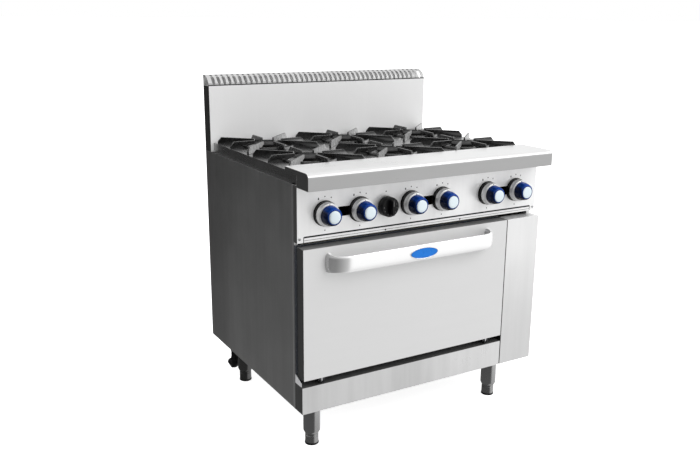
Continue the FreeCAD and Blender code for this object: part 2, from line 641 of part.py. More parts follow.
def door_handle():
    """Flat bow handle on two bent legs with flared ends, and a blank oval plate near its middle."""
    z0 = HANDLE_Z - HANDLE_H / 2
    outer = handle_face(HANDLE_SPAN, HANDLE_FRONT, HANDLE_BEND, z0).extrude(v(0, 0, HANDLE_H))
    inner = handle_face(HANDLE_SPAN - 2 * HANDLE_THICK, HANDLE_FRONT + HANDLE_THICK,
                        HANDLE_BEND - HANDLE_THICK, z0 - 1).extrude(v(0, 0, HANDLE_H + 2))
    bow = outer.cut(inner)
    foot_z = HANDLE_Z - HANDLE_FOOT_H / 2
    for x in (DOOR_MID - HANDLE_SPAN / 2, DOOR_MID + HANDLE_SPAN / 2 - HANDLE_FOOT_W):
        bow = bow.fuse(box(x, x + HANDLE_FOOT_W, DOOR_FRONT - HANDLE_FOOT, DOOR_FRONT,
                           foot_z, foot_z + HANDLE_FOOT_H))
    taps = [rod(v(x, DOOR_FRONT, z), -Y_AXIS, 16, SCREW_R) for x, z in handle_screw_places()]
    save("door_handle", bow.cut(Part.makeCompound(taps)))

    screws = []
    for x, z in handle_screw_places():
        shank = rod(v(x, DOOR_FRONT + SHEET, z), -Y_AXIS, 16 + SHEET, SCREW_R)
        head = rod(v(x, DOOR_FRONT + SHEET, z), Y_AXIS, 5, SCREW_R * 1.8)
        screws.append(joined(shank, head))
    save("handle_screws", *screws)

    middle = v(DOOR_MID + BADGE_SHIFT, HANDLE_FRONT, HANDLE_Z)
    rim = Part.Ellipse(middle + v(BADGE_W / 2, 0, 0), middle + v(0, 0, BADGE_H / 2), middle)
    plate = Part.Face(Part.Wire([rim.toShape()]))
    save("handle_badge", plate.extrude(v(0, -BADGE_THICK, 0)))


def hinges():
    """Door arms with their pins, and the pairs of ears on the oven mouth that carry the pins."""
    arms = []
    ears = []
    pin_half = HINGE_ARM_W / 2 + HINGE_CLEAR + HINGE_EAR_W + 1
    for x in HINGE_X:
        half = HINGE_ARM_W / 2
        arm = joined(box(x - half, x + half, HINGE_Y - 6, HINGE_Y + 6, HINGE_Z, DOOR_BOTTOM + 70),
                     rod(v(x - half, HINGE_Y, HINGE_Z), X_AXIS, HINGE_ARM_W, 6))
        pin = rod(v(x - pin_half, HINGE_Y, HINGE_Z), X_AXIS, 2 * pin_half, HINGE_PIN_R)
        arms.append(joined(arm, pin))
        for side in (-1, 1):
            near = x + side * (half + HINGE_CLEAR)
            far = near + side * HINGE_EAR_W
            x0 = min(near, far)
            ear = joined(rod(v(x0, HINGE_Y, HINGE_Z), X_AXIS, HINGE_EAR_W, HINGE_EAR_R),
                         box(x0, x0 + HINGE_EAR_W, HINGE_Y, FRAME_FACE,
                             HINGE_Z - HINGE_EAR_R, HINGE_Z + HINGE_EAR_R))
            bore = rod(v(x0 - 1, HINGE_Y, HINGE_Z), X_AXIS, HINGE_EAR_W + 2, HINGE_PIN_R + RUN_CLEAR)
            ears.append(ear.cut(bore))
    save("hinge_arms", *arms)
    save("hinge_brackets", *ears)


# ---------------------------------------------------------------- controls and gas
def knob(name, x):
    """Base ring, dial, tapered grip, face disc and the spindle that reaches into the valve plug."""
    back = -KNOB_STAND_OFF
    tip = -KNOB_LENGTH - KNOB_STAND_OFF
    start = back - KNOB_RING_H - KNOB_DIAL_H
    base = rod(v(x, back - KNOB_RING_H, KNOB_Z), Y_AXIS, KNOB_RING_H, KNOB_RING_R)
    dial = rod(v(x, start, KNOB_Z), Y_AXIS, KNOB_DIAL_H, KNOB_DIAL_R)
    grip = Part.makeCone(KNOB_GRIP_R, KNOB_TIP_R, start - tip - 2, v(x, start, KNOB_Z), -Y_AXIS)
    face = rod(v(x, tip, KNOB_Z), Y_AXIS, 2, KNOB_FACE_R)
    spindle_end = PLUG_START + PLUG_LENGTH - KNOB_TRAVEL - 4
    spindle = rod(v(x, back, KNOB_Z), Y_AXIS, spindle_end - back, SPINDLE_R)
    save(name, base, dial, grip, face, spindle)


def thermostat_knob():
    x = THERMOSTAT_X
    back = -KNOB_STAND_OFF
    tip = back - THERMOSTAT_LENGTH
    skirt = rod(v(x, back - THERMOSTAT_SKIRT, KNOB_Z), Y_AXIS, THERMOSTAT_SKIRT, THERMOSTAT_R)
    bar = box(x - 6, x + 6, tip, back - THERMOSTAT_SKIRT, KNOB_Z - THERMOSTAT_R + 6,
              KNOB_Z + THERMOSTAT_R - 6)
    spindle = rod(v(x, back, KNOB_Z), Y_AXIS, VALVE_FRONT + 20 - back, SPINDLE_R)
    save("thermostat_knob", joined(skirt, bar), spindle)


def valve_plug(name, x):
    """Turning plug inside the valve: the spindle slides a little way in its bore."""
    plug = rod(v(x, PLUG_START, KNOB_Z), Y_AXIS, PLUG_LENGTH, PLUG_R)
    bore = rod(v(x, PLUG_START - 1, KNOB_Z), Y_AXIS, PLUG_LENGTH - 2, SPINDLE_R + RUN_CLEAR)
    save(name, plug.cut(bore))


def valve_bodies():
    bodies = []
    for x in KNOB_X:
        block = box(x - VALVE_HALF_W, x + VALVE_HALF_W, VALVE_FRONT, VALVE_BACK,
                    MANIFOLD_TOP - MANIFOLD, KNOB_Z + VALVE_TOP_RISE)
        seat = rod(v(x, PLUG_START - 2, KNOB_Z), Y_AXIS, PLUG_LENGTH + 4, PLUG_R + RUN_CLEAR)
        neck = rod(v(x, VALVE_FRONT - 1, KNOB_Z), Y_AXIS, 20, SPINDLE_R + 1)
        bodies.append(block.cut(seat).cut(neck))
    x = THERMOSTAT_X
    block = box(x - 1.5 * VALVE_HALF_W, x + 1.5 * VALVE_HALF_W, VALVE_FRONT, VALVE_BACK,
                MANIFOLD_TOP - MANIFOLD, KNOB_Z + VALVE_TOP_RISE)
    seat = rod(v(x, VALVE_FRONT - 1, KNOB_Z), Y_AXIS, 24, SPINDLE_R + RUN_CLEAR)
    bodies.append(block.cut(seat))
    save("valve_bodies", *bodies)


def gas_pipework():
    """Square manifold behind the valves, a feed to each burner and the supply down the back."""
    z0 = MANIFOLD_TOP - MANIFOLD
    x_end = KNOB_X[-1] + VALVE_HALF_W
    manifold = shell(INLET_X - INLET_R, x_end, VALVE_BACK, VALVE_BACK + MANIFOLD, z0, MANIFOLD_TOP, (), 3.0)
    supply_z = z0 + MANIFOLD / 2
    supply = bent_rod([v(INLET_X, VALVE_BACK + MANIFOLD, supply_z), v(INLET_X, INLET_Y, supply_z),
                       v(INLET_X, INLET_Y, BASE_Z - 4)], INLET_R)
    pieces = [joined(manifold, supply)]
    for knob_x, (burner_x, burner_y) in zip(KNOB_X, BURNERS):
        y = VALVE_BACK - 2 * FEED_R
        pieces.append(bent_rod([v(knob_x, y, KNOB_Z + VALVE_TOP_RISE), v(knob_x, y, FEED_Z),
                                v(burner_x, burner_y, FEED_Z), v(burner_x, burner_y, HOB_TOP - 30)], FEED_R))
    y = INSULATION_BACK + 3 * FEED_R
    x = DOOR_MID - OVEN_BURNER_SPREAD
    z = KNOB_Z + VALVE_TOP_RISE / 2
    burner_end = CAVITY_Y1 - OVEN_BURNER_INSET + OVEN_BURNER_R
    pieces.append(bent_rod([v(THERMOSTAT_X, VALVE_BACK, z), v(THERMOSTAT_X, VALVE_BACK + MANIFOLD, z),
                            v(x, y, z), v(x, y, OVEN_BURNER_Z), v(x, burner_end, OVEN_BURNER_Z)], FEED_R))
    save("gas_pipework", *pieces)


def gas_inlet():
    """Stepped elbow under the base, ending in the threaded stub for the supply hose."""
    top = BASE_Z - 4
    y = INLET_Y - INLET_STEP
    elbow = bent_rod([v(INLET_X, INLET_Y, top), v(INLET_X, INLET_Y, top - 28), v(INLET_X, y, top - 28),
                      v(INLET_X, y, INLET_Z), v(INLET_X, y + 24, INLET_Z)], INLET_R + 4)
    stub = rod(v(INLET_X, y + 24, INLET_Z), Y_AXIS, INLET_THREAD, INLET_R)
    bore = rod(v(INLET_X, y + 4, INLET_Z), Y_AXIS, INLET_THREAD + 24, INLET_R - 3)
    save("gas_inlet", joined(elbow, stub).cut(bore))


# ---------------------------------------------------------------- crumb tray, legs, fasteners
def crumb_tray():
    half = INNER - TUBE - TRAY_SIDE_GAP
    front = box(-HALF + TRAY_INSET + 2, HALF - TRAY_INSET - 2, 0, SHEET,
                PANEL_BOTTOM, PANEL_BOTTOM + TRAY_FRONT_H)
    pan = shell(-half, half, SHEET, TRAY_LENGTH, PANEL_BOTTOM, PANEL_BOTTOM + TRAY_WALL_H, ("+z",))
    save("crumb_tray", joined(front, pan))


def leg_tubes():
    """Tapered leg tubes with a bored end for the foot stem and a plate under the base pan."""
    legs = []
    for x, y in LEGS:
        tube = rod(v(x, y, LEG_END + LEG_TAPER), Z_AXIS, LEG_TOP - LEG_END - LEG_TAPER, LEG_R)
        taper = Part.makeCone(FOOT_R + 1.5, LEG_R, LEG_TAPER, v(x, y, LEG_END))
        plate = box(x - LEG_PLATE / 2, x + LEG_PLATE / 2, max(y - LEG_PLATE / 2, CASING_FRONT + SHEET),
                    y + LEG_PLATE / 2, LEG_TOP, BASE_Z)
        hollow = rod(v(x, y, LEG_END + 22), Z_AXIS, LEG_TOP - LEG_END - 22, LEG_R - LEG_WALL)
        bore = rod(v(x, y, LEG_END - 1), Z_AXIS, 30, FOOT_STEM_R + RUN_CLEAR)
        legs.append(joined(tube.cut(hollow), taper, plate).cut(hollow).cut(bore))
    save("leg_tubes", *legs)


def foot(name, x, y):
    """Screw-adjusted foot: pad ring, body and stem."""
    pad = rod(v(x, y, 0), Z_AXIS, FOOT_RING_H, FOOT_R + 1)
    body = rod(v(x, y, FOOT_RING_H), Z_AXIS, LEG_END - PART_GAP - FOOT_RING_H, FOOT_R)
    stem = rod(v(x, y, LEG_END - PART_GAP), Z_AXIS, FOOT_GRIP, FOOT_STEM_R)
    save(name, joined(pad, body, stem))


def front_screw_places():
    """Lower corners of the control panel, beside the tray front."""
    return [v(side * (HALF - TRAY_INSET / 2 + 2), 0, PANEL_BOTTOM + TRAY_FRONT_H - 2) for side in (-1, 1)]


def back_screw_places():
    """Corners of the back panel, over the rear uprights."""
    return [v(side * (INNER - TUBE / 2), CASING_BACK - SHEET, z) for side in (-1, 1)
            for z in (BASE_Z + 60, SIDE_TOP - 60)]


def panel_screws():
    """Raised-head screws in the control panel and countersunk screws in the back panel."""
    screws = [joined(rod(p, -Y_AXIS, SCREW_HEAD, SCREW_HEAD_R), rod(p, Y_AXIS, SCREW_SHANK, SCREW_SHANK_R))
              for p in front_screw_places()]
    screws += [joined(rod(p, Y_AXIS, SHEET, SCREW_HEAD_R), rod(p, -Y_AXIS, SCREW_SHANK, SCREW_SHANK_R))
               for p in back_screw_places()]
    save("panel_screws", *screws)


def main():
    os.makedirs("parts", exist_ok=True)
    chassis_frame()
    side_panel("side_panel_left", -1)
    side_panel("side_panel_right", 1)
    back_panel()
    base_pan()
    control_panel()
    front_rail()
    kick_panel()
    service_panel()
    cooktop()
    burners()
    pilot_lights()
    for i, (x, y) in enumerate(BURNERS):
        grate("grate_%d" % (i + 1), x, y)
    riser()
    flue_cap()
    flue_duct()
    oven_liner()
    oven_insulation()
    oven_sole()
    oven_burner()
    rack_guides()
    oven_rack()
    door()
    door_handle()
    hinges()
    for i, x in enumerate(KNOB_X):
        knob("knob_%d" % (i + 1), x)
        valve_plug("valve_plug_%d" % (i + 1), x)
    thermostat_knob()
    valve_bodies()
    gas_pipework()
    gas_inlet()
    crumb_tray()
    leg_tubes()
    for i, (x, y) in enumerate(LEGS):
        foot("foot_%d" % (i + 1), x, y)
    panel_screws()


main()
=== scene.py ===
import math

import bmesh
import bpy
from mathutils import Matrix, Vector

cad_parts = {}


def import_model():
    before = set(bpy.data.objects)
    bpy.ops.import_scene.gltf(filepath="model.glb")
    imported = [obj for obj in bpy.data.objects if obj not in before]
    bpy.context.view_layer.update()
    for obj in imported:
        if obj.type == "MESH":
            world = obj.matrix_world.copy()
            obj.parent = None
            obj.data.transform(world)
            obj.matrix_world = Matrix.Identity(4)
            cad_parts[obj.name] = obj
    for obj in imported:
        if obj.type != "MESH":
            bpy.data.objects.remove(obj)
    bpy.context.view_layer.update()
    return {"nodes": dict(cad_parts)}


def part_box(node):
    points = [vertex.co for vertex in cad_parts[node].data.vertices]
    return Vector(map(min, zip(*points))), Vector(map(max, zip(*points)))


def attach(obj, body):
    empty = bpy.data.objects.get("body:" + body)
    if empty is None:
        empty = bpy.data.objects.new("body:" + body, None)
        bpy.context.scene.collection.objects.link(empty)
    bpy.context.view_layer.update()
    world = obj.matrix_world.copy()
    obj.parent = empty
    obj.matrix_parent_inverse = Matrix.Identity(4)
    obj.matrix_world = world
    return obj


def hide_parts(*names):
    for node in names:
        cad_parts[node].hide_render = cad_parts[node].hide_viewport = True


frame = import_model()

MM = 0.001
X = Vector((1, 0, 0))
Y = Vector((0, 1, 0))
Z = Vector((0, 0, 1))


def extent(node):
    """Lowest and highest corner of a CAD node, in millimetres."""
    low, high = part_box(node)
    return low / MM, high / MM


# ---------------------------------------------------------------- camera, light, floor
CAMERA_PLACE = (-1.44473, -2.31647, 1.29232)
CAMERA_ANGLES = (30.375, 15.039, 0.5)    # degrees: turned right, tilted down, rolled
LENS, SENSOR = 41.535, 36.0
FLAG = Vector((-0.999, 0.035, 0.0))      # where the dark flag stands
FLAG_LEVEL = 0.035
FLAG_FOOT = 0.15                         # paler where it meets the floor
FLOOR_SIZE = 300.0


def camera():
    yaw, pitch, roll = (math.radians(angle) for angle in CAMERA_ANGLES)
    forward = Vector((math.sin(yaw) * math.cos(pitch), math.cos(yaw) * math.cos(pitch), -math.sin(pitch)))
    right = Vector((math.cos(yaw), -math.sin(yaw), 0))
    up = right.cross(forward)
    side = math.cos(roll) * right + math.sin(roll) * up
    top = -math.sin(roll) * right + math.cos(roll) * up
    data = bpy.data.cameras.new("camera")
    data.lens = LENS
    data.sensor_width = SENSOR
    cam = bpy.data.objects.new("camera", data)
    cam.matrix_world = Matrix((side, top, -forward)).transposed().to_4x4()
    cam.location = CAMERA_PLACE
    bpy.context.scene.collection.objects.link(cam)
    bpy.context.scene.camera = cam


def softbox(name, place, target, width, height, watts):
    data = bpy.data.lights.new(name, "AREA")
    data.shape = "RECTANGLE"
    data.size, data.size_y, data.energy = width, height, watts
    light = bpy.data.objects.new(name, data)
    light.location = place
    light.rotation_euler = (Vector(target) - Vector(place)).to_track_quat("-Z", "Y").to_euler()
    light.visible_camera = False
    bpy.context.scene.collection.objects.link(light)


def world():
    """White studio; shiny surfaces also see a long dark flag standing low on the left."""
    new = bpy.data.worlds.new("studio")
    bpy.context.scene.world = new
    new.use_nodes = True
    tree = new.node_tree
    tree.nodes.clear()
    net = Net(tree)
    direction = net.node("ShaderNodeTexCoord").outputs["Generated"]
    level = net.vector("MULTIPLY", direction, (1, 1, 0))
    facing = net.dot(net.vector("NORMALIZE", level), FLAG)
    height = net.node("ShaderNodeSeparateXYZ")
    net.link(direction, height.inputs[0])
    beside = net.ramp(facing, -0.40, -0.18, 0.0, 1.0)
    below = net.ramp(height.outputs["Z"], 0.12, 0.50, 1.0, 0.0)
    glow = net.ramp(height.outputs["Z"], -0.08, -0.55, FLAG_LEVEL, FLAG_FOOT)
    studio = net.node("ShaderNodeBackground")
    shade = net.node("ShaderNodeMix", data_type="FLOAT")
    net.link(net.multiply(beside, below), shade.inputs[0])
    net.link(net.ramp(height.outputs["Z"], -0.34, -0.62, 1.0, 0.6), shade.inputs[2])
    net.link(glow, shade.inputs[3])
    net.link(shade.outputs[0], studio.inputs["Strength"])
    backdrop = net.node("ShaderNodeBackground")
    backdrop.inputs["Strength"].default_value = 1.0
    for background in (studio, backdrop):
        background.inputs["Color"].default_value = (1, 1, 1, 1)
    mix = net.node("ShaderNodeMixShader")
    net.link(net.node("ShaderNodeLightPath").outputs["Is Glossy Ray"], mix.inputs[0])
    net.link(backdrop.outputs[0], mix.inputs[1])
    net.link(studio.outputs[0], mix.inputs[2])
    net.link(mix.outputs[0], net.node("ShaderNodeOutputWorld").inputs["Surface"])


def floor():
    bm = bmesh.new()
    corners = [bm.verts.new((x * FLOOR_SIZE, y * FLOOR_SIZE, 0.0)) for x, y in
               ((-1, -1), (1, -1), (1, 1), (-1, 1))]
    bm.faces.new(corners)
    mesh = bpy.data.meshes.new("floor")
    bm.to_mesh(mesh)
    bm.free()
    mesh.materials.append(floor_material())
    plane = bpy.data.objects.new("floor", mesh)
    plane.visible_glossy = False
    plane.visible_diffuse = False
    bpy.context.scene.collection.objects.link(plane)


# ---------------------------------------------------------------- node helpers
class Net:
    """Short names for building a node tree."""

    def __init__(self, tree):
        self.tree = tree

    def node(self, kind, **settings):
        new = self.tree.nodes.new(kind)
        for key, value in settings.items():
            setattr(new, key, value)
        return new

    def link(self, a, b):
        self.tree.links.new(a, b)

    def feed(self, socket, value):
        if isinstance(value, bpy.types.NodeSocket):
            self.link(value, socket)
        else:
            socket.default_value = value

    def sum_up(self, kind, operation, values):
        new = self.node(kind, operation=operation)
        for socket, value in zip(new.inputs, values):
            self.feed(socket, value)
        return new

    def math(self, operation, *values):
        return self.sum_up("ShaderNodeMath", operation, values).outputs[0]

    def vector(self, operation, *values):
        return self.sum_up("ShaderNodeVectorMath", operation, values).outputs["Vector"]

    def dot(self, a, b):
        return self.sum_up("ShaderNodeVectorMath", "DOT_PRODUCT", (a, b)).outputs["Value"]

    def turned(self, toward, start, end, low, high):
        """From low to high as the surface turns towards a direction."""
        normal = self.node("ShaderNodeNewGeometry").outputs["Normal"]
        return self.ramp(self.dot(normal, Vector(toward).normalized()), start, end, low, high)

    def multiply(self, a, b):
        return self.math("MULTIPLY", a, b)

    def add(self, a, b):
        return self.math("ADD", a, b)

    def ramp(self, value, start, end, low, high):
        """Smooth step from low at start to high at end."""
        new = self.node("ShaderNodeMapRange", clamp=True)
        new.interpolation_type = "SMOOTHSTEP"
        self.feed(new.inputs["Value"], value)
        for key, number in zip(("From Min", "From Max", "To Min", "To Max"), (start, end, low, high)):
            new.inputs[key].default_value = number
        return new.outputs["Result"]

    def place(self, scale=(1, 1, 1)):
        mapping = self.node("ShaderNodeMapping")
        mapping.inputs["Scale"].default_value = scale
        self.link(self.node("ShaderNodeTexCoord").outputs["Object"], mapping.inputs["Vector"])
        return mapping.outputs["Vector"]

    def noise(self, scale, detail=3.0, roughness=0.55, stretch=(1, 1, 1)):
        new = self.node("ShaderNodeTexNoise")
        self.link(self.place(stretch), new.inputs["Vector"])
        for key, number in (("Scale", scale), ("Detail", detail), ("Roughness", roughness)):
            new.inputs[key].default_value = number
        return new.outputs["Fac"]

    def blend(self, amount, a, b):
        new = self.node("ShaderNodeMix", data_type="RGBA")
        self.feed(new.inputs["Factor"], amount)
        self.feed(new.inputs[6], a)
        self.feed(new.inputs[7], b)
        return new.outputs[2]

    def grey(self, value, tint=(1, 1, 1)):
        new = self.node("ShaderNodeCombineColor")
        for socket, part in zip(new.inputs, tint):
            self.feed(socket, self.multiply(value, part))
        return new.outputs[0]

    def edges(self, radius):
        """Mask that is 1 on convex and concave edges."""
        soft = self.node("ShaderNodeBevel", samples=4)
        soft.inputs["Radius"].default_value = radius
        flat = self.node("ShaderNodeNewGeometry").outputs["Normal"]
        return self.ramp(self.dot(soft.outputs[0], flat), 0.99, 0.8, 0.0, 1.0)

    def bump(self, height, strength, distance):
        new = self.node("ShaderNodeBump")
        new.inputs["Strength"].default_value = strength
        new.inputs["Distance"].default_value = distance
        self.link(height, new.inputs["Height"])
        return new.outputs[0]


def material(name, colour, metallic, roughness, normal=None, fixed=(), view=(0.6, 0.6, 0.6)):
    """fixed gives sockets that are one value all over, such as a coat."""
    mat = bpy.data.materials.new(name)
    mat.use_nodes = True
    mat.node_tree.nodes.clear()
    net = Net(mat.node_tree)
    shader = net.node("ShaderNodeBsdfPrincipled")
    shader.inputs["Metallic"].default_value = metallic
    for key, number in dict(fixed).items():
        shader.inputs[key].default_value = number
    net.feed(shader.inputs["Base Color"], colour(net))
    net.feed(shader.inputs["Roughness"], roughness(net))
    if normal:
        net.link(normal(net), shader.inputs["Normal"])
    net.link(shader.outputs[0], net.node("ShaderNodeOutputMaterial").inputs["Surface"])
    mat.diffuse_color = (*view, 1.0)
    return mat


def along(grain, fine):
    """Stretch for a noise that runs in lines along the grain axis."""
    return tuple(1.0 if axis == grain else fine for axis in "xyz")


def brushed(name, tone, rough, grain="z", fine=0.02, streak=0.04, cloud=0.02, broad=0.0, top=None, fall=None,
            left=None, back=None, deep=None, crease_highlight=None, metal=1.0, tint=(1, 1, 1)):
    """Stainless sheet: fine lines, wider streaks, clouding and slow changes across the sheet.

    top and back are painted light and shade: tones of faces that look up and back. left is (start, end, tone),
    painted shade on faces that look left. fall and deep are painted light and shade as (low, high, share low,
    share high) along z and y in metres. fold is (y, width, gain) of a painted highlight along a crease.
    """
    def colour(net):
        lines = net.ramp(net.noise(9.0, 4.0, 0.7, along(grain, 140.0)), 0.3, 0.7, 1 - fine, 1 + fine)
        wide = net.ramp(net.noise(2.2, 2.0, 0.5, along(grain, 16.0)), 0.3, 0.7, 1 - streak, 1 + streak)
        clouds = net.ramp(net.noise(4.0, 3.0), 0.3, 0.7, 1 - cloud, 1 + cloud)
        slow = net.ramp(net.noise(1.1, 1.0, 0.4, along(grain, 3.2)), 0.3, 0.7, 1 - broad, 1 + broad)
        # Painted light and shade: faces that look up, left and back take tones of their own.
        level = net.turned(Z, 0.1, 0.8, tone, top) if top is not None else tone
        if left:
            level = net.multiply(level, net.turned(-X, left[0], left[1], 1.0, left[2] / tone))
        if back is not None:
            level = net.multiply(level, net.turned(Y, 0.4, 0.8, 1.0, back / tone))
        place = net.node("ShaderNodeSeparateXYZ")
        net.link(net.place(), place.inputs[0])
        # Painted light and shade along height and depth, and a painted highlight along a crease.
        if fall:
            level = net.multiply(net.ramp(place.outputs["Z"], *fall), level)
        if deep:
            level = net.multiply(net.ramp(place.outputs["Y"], *deep), level)
        if crease_highlight:
            away = net.math("ABSOLUTE", net.math("SUBTRACT", place.outputs["Y"], crease_highlight[0]))
            level = net.multiply(level, net.ramp(away, crease_highlight[1] / 2, crease_highlight[1], crease_highlight[2], 1.0))
        return net.grey(net.multiply(net.multiply(lines, wide), net.multiply(net.multiply(clouds, slow), level)),
                        tint)

    def roughness(net):
        lines = net.ramp(net.noise(9.0, 4.0, 0.7, along(grain, 140.0)), 0.3, 0.7, -fine, fine)
        smudge = net.ramp(net.noise(7.0, 4.0, 0.6), 0.35, 0.7, -0.02, 0.04)
        return net.add(net.add(lines, smudge), rough)

    def normal(net):
        return net.bump(net.noise(14.0, 3.0, 0.7, along(grain, 120.0)), 2.0 * fine, 0.0002)

    return material(name, colour, metal, roughness, normal, view=(tone, tone, tone))


def cast_iron(name, dark, edge_wear_and_highlight, rough, index, face):
    """Black cast iron: sand-cast grain, dusty hollows, edges brighter from wear and a painted highlight, and
    painted light on faces that look to the front right.
    """
    def colour(net):
        patches = net.ramp(net.noise(28.0, 5.0, 0.65), 0.35, 0.7, 0.0, 1.0)
        base = net.blend(patches, (dark, dark, dark * 1.03, 1), (dark * 1.7, dark * 1.7, dark * 1.75, 1))
        # Brighter edges: partly rubbed wear, partly a painted highlight.
        rubbed = net.blend(net.multiply(net.edges(0.0012), 0.75), base, (edge_wear_and_highlight, edge_wear_and_highlight, edge_wear_and_highlight, 1))
        # Painted light: faces that look to the front right take the light face tone.
        return net.blend(net.turned((1, -1, 0), 0.80, 0.95, 0.0, 1.0), rubbed, (face, face, face, 1))

    def roughness(net):
        return net.ramp(net.noise(60.0, 4.0, 0.6), 0.3, 0.7, rough - 0.08, rough + 0.1)

    def normal(net):
        return net.bump(net.noise(420.0, 4.0, 0.6), 0.05, 0.0005)

    return material(name, colour, 0.0, roughness, normal, {"IOR": index}, (dark, dark, dark))


def moulded(name, rgb, rough, coat, depth=0.0, speckle=0.06):
    """Moulded plastic with a faint orange-peel skin, rubbed edges, and painted shade towards black on faces turned
    away from the upper right front.
    """
    def colour(net):
        shade = net.ramp(net.noise(35.0, 3.0), 0.3, 0.7, 0.0, 1.0)
        low = tuple(c * (1 - speckle) for c in rgb) + (1,)
        high = tuple(min(1, c * (1 + speckle)) for c in rgb) + (1,)
        rubbed = tuple(min(1, c * 1.6 + 0.012) for c in rgb) + (1,)
        skin = net.blend(net.multiply(net.edges(0.0008), 0.4), net.blend(shade, low, high), rubbed)
        # Painted shade: faces turned away from the upper right front darken towards black by depth.
        painted_shade = net.turned((0.65, -0.25, 0.72), -0.35, 0.95, depth, 0.0)
        return net.blend(painted_shade, skin, (0, 0, 0, 1))

    def roughness(net):
        return net.ramp(net.noise(90.0, 3.0), 0.3, 0.7, rough - 0.04, rough + 0.05)

    def normal(net):
        return net.bump(net.noise(700.0, 2.0), 0.08, 0.0002)

    return material(name, colour, 0.0, roughness, normal,
                    {"Coat Weight": coat, "Coat Roughness": 0.12, "Specular IOR Level": 0.2}, rgb)


def enamel(name, rgb, fleck):
    """Vitreous enamel with small pale flecks."""
    def colour(net):
        specks = net.ramp(net.noise(900.0, 2.0, 0.6), 0.62, 0.7, 0.0, 1.0)
        shade = net.ramp(net.noise(6.0, 4.0), 0.3, 0.7, 0.0, 1.0)
        base = net.blend(shade, (*[c * 0.8 for c in rgb], 1), (*rgb, 1))
        return net.blend(specks, base, (*fleck, 1))

    def roughness(net):
        return net.ramp(net.noise(20.0, 3.0), 0.3, 0.7, 0.16, 0.3)

    def normal(net):
        return net.bump(net.noise(150.0, 2.0), 0.1, 0.0004)

    return material(name, colour, 0.0, roughness, normal, {"Coat Weight": 0.5, "Coat Roughness": 0.1}, rgb)


def woven(name, rgb, pitch):
    """Braided or felted mineral fibre."""
    fibre_scale = (1 / pitch, 1 / pitch, 1 / pitch)

    def colour(net):
        fibres = net.ramp(net.noise(1.0, 4.0, 0.7, fibre_scale), 0.3, 0.7, 0.0, 1.0)
        return net.blend(fibres, (*[c * 0.55 for c in rgb], 1), (*rgb, 1))

    def roughness(net):
        return net.ramp(net.noise(300.0, 2.0), 0.3, 0.7, 0.8, 0.95)

    def normal(net):
        return net.bump(net.noise(1.0, 3.0, 0.7, fibre_scale), 0.7, 0.001)

    return material(name, colour, 0.0, roughness, normal, {"Sheen Weight": 0.2}, rgb)


def cast_metal(name, rgb, rough, grain=200.0):
    """Machined or die-cast metal with a fine grain and dull patches."""
    def colour(net):
        shade = net.ramp(net.noise(18.0, 4.0), 0.3, 0.7, 0.0, 1.0)
        base = net.blend(shade, (*[c * 0.85 for c in rgb], 1), (*rgb, 1))
        bright = (*[min(1, c * 1.25) for c in rgb], 1)
        return net.blend(net.multiply(net.edges(0.0008), 0.5), base, bright)

    def roughness(net):
        return net.ramp(net.noise(40.0, 3.0), 0.3, 0.7, rough - 0.05, rough + 0.08)

    def normal(net):
        return net.bump(net.noise(grain, 3.0), 0.12, 0.0003)

    return material(name, colour, 1.0, roughness, normal, view=rgb)


def floor_material():
    def colour(net):
        shade = net.ramp(net.noise(0.6, 3.0), 0.3, 0.7, 0.985, 1.0)
        return net.grey(net.multiply(shade, 0.97))

    def roughness(net):
        return net.ramp(net.noise(3.0, 2.0), 0.3, 0.7, 0.75, 0.85)

    return material("floor_paint", colour, 0.0, roughness, None,
                    {"Emission Color": (1, 1, 1, 1), "Emission Strength": 0.82}, (0.9, 0.9, 0.9))


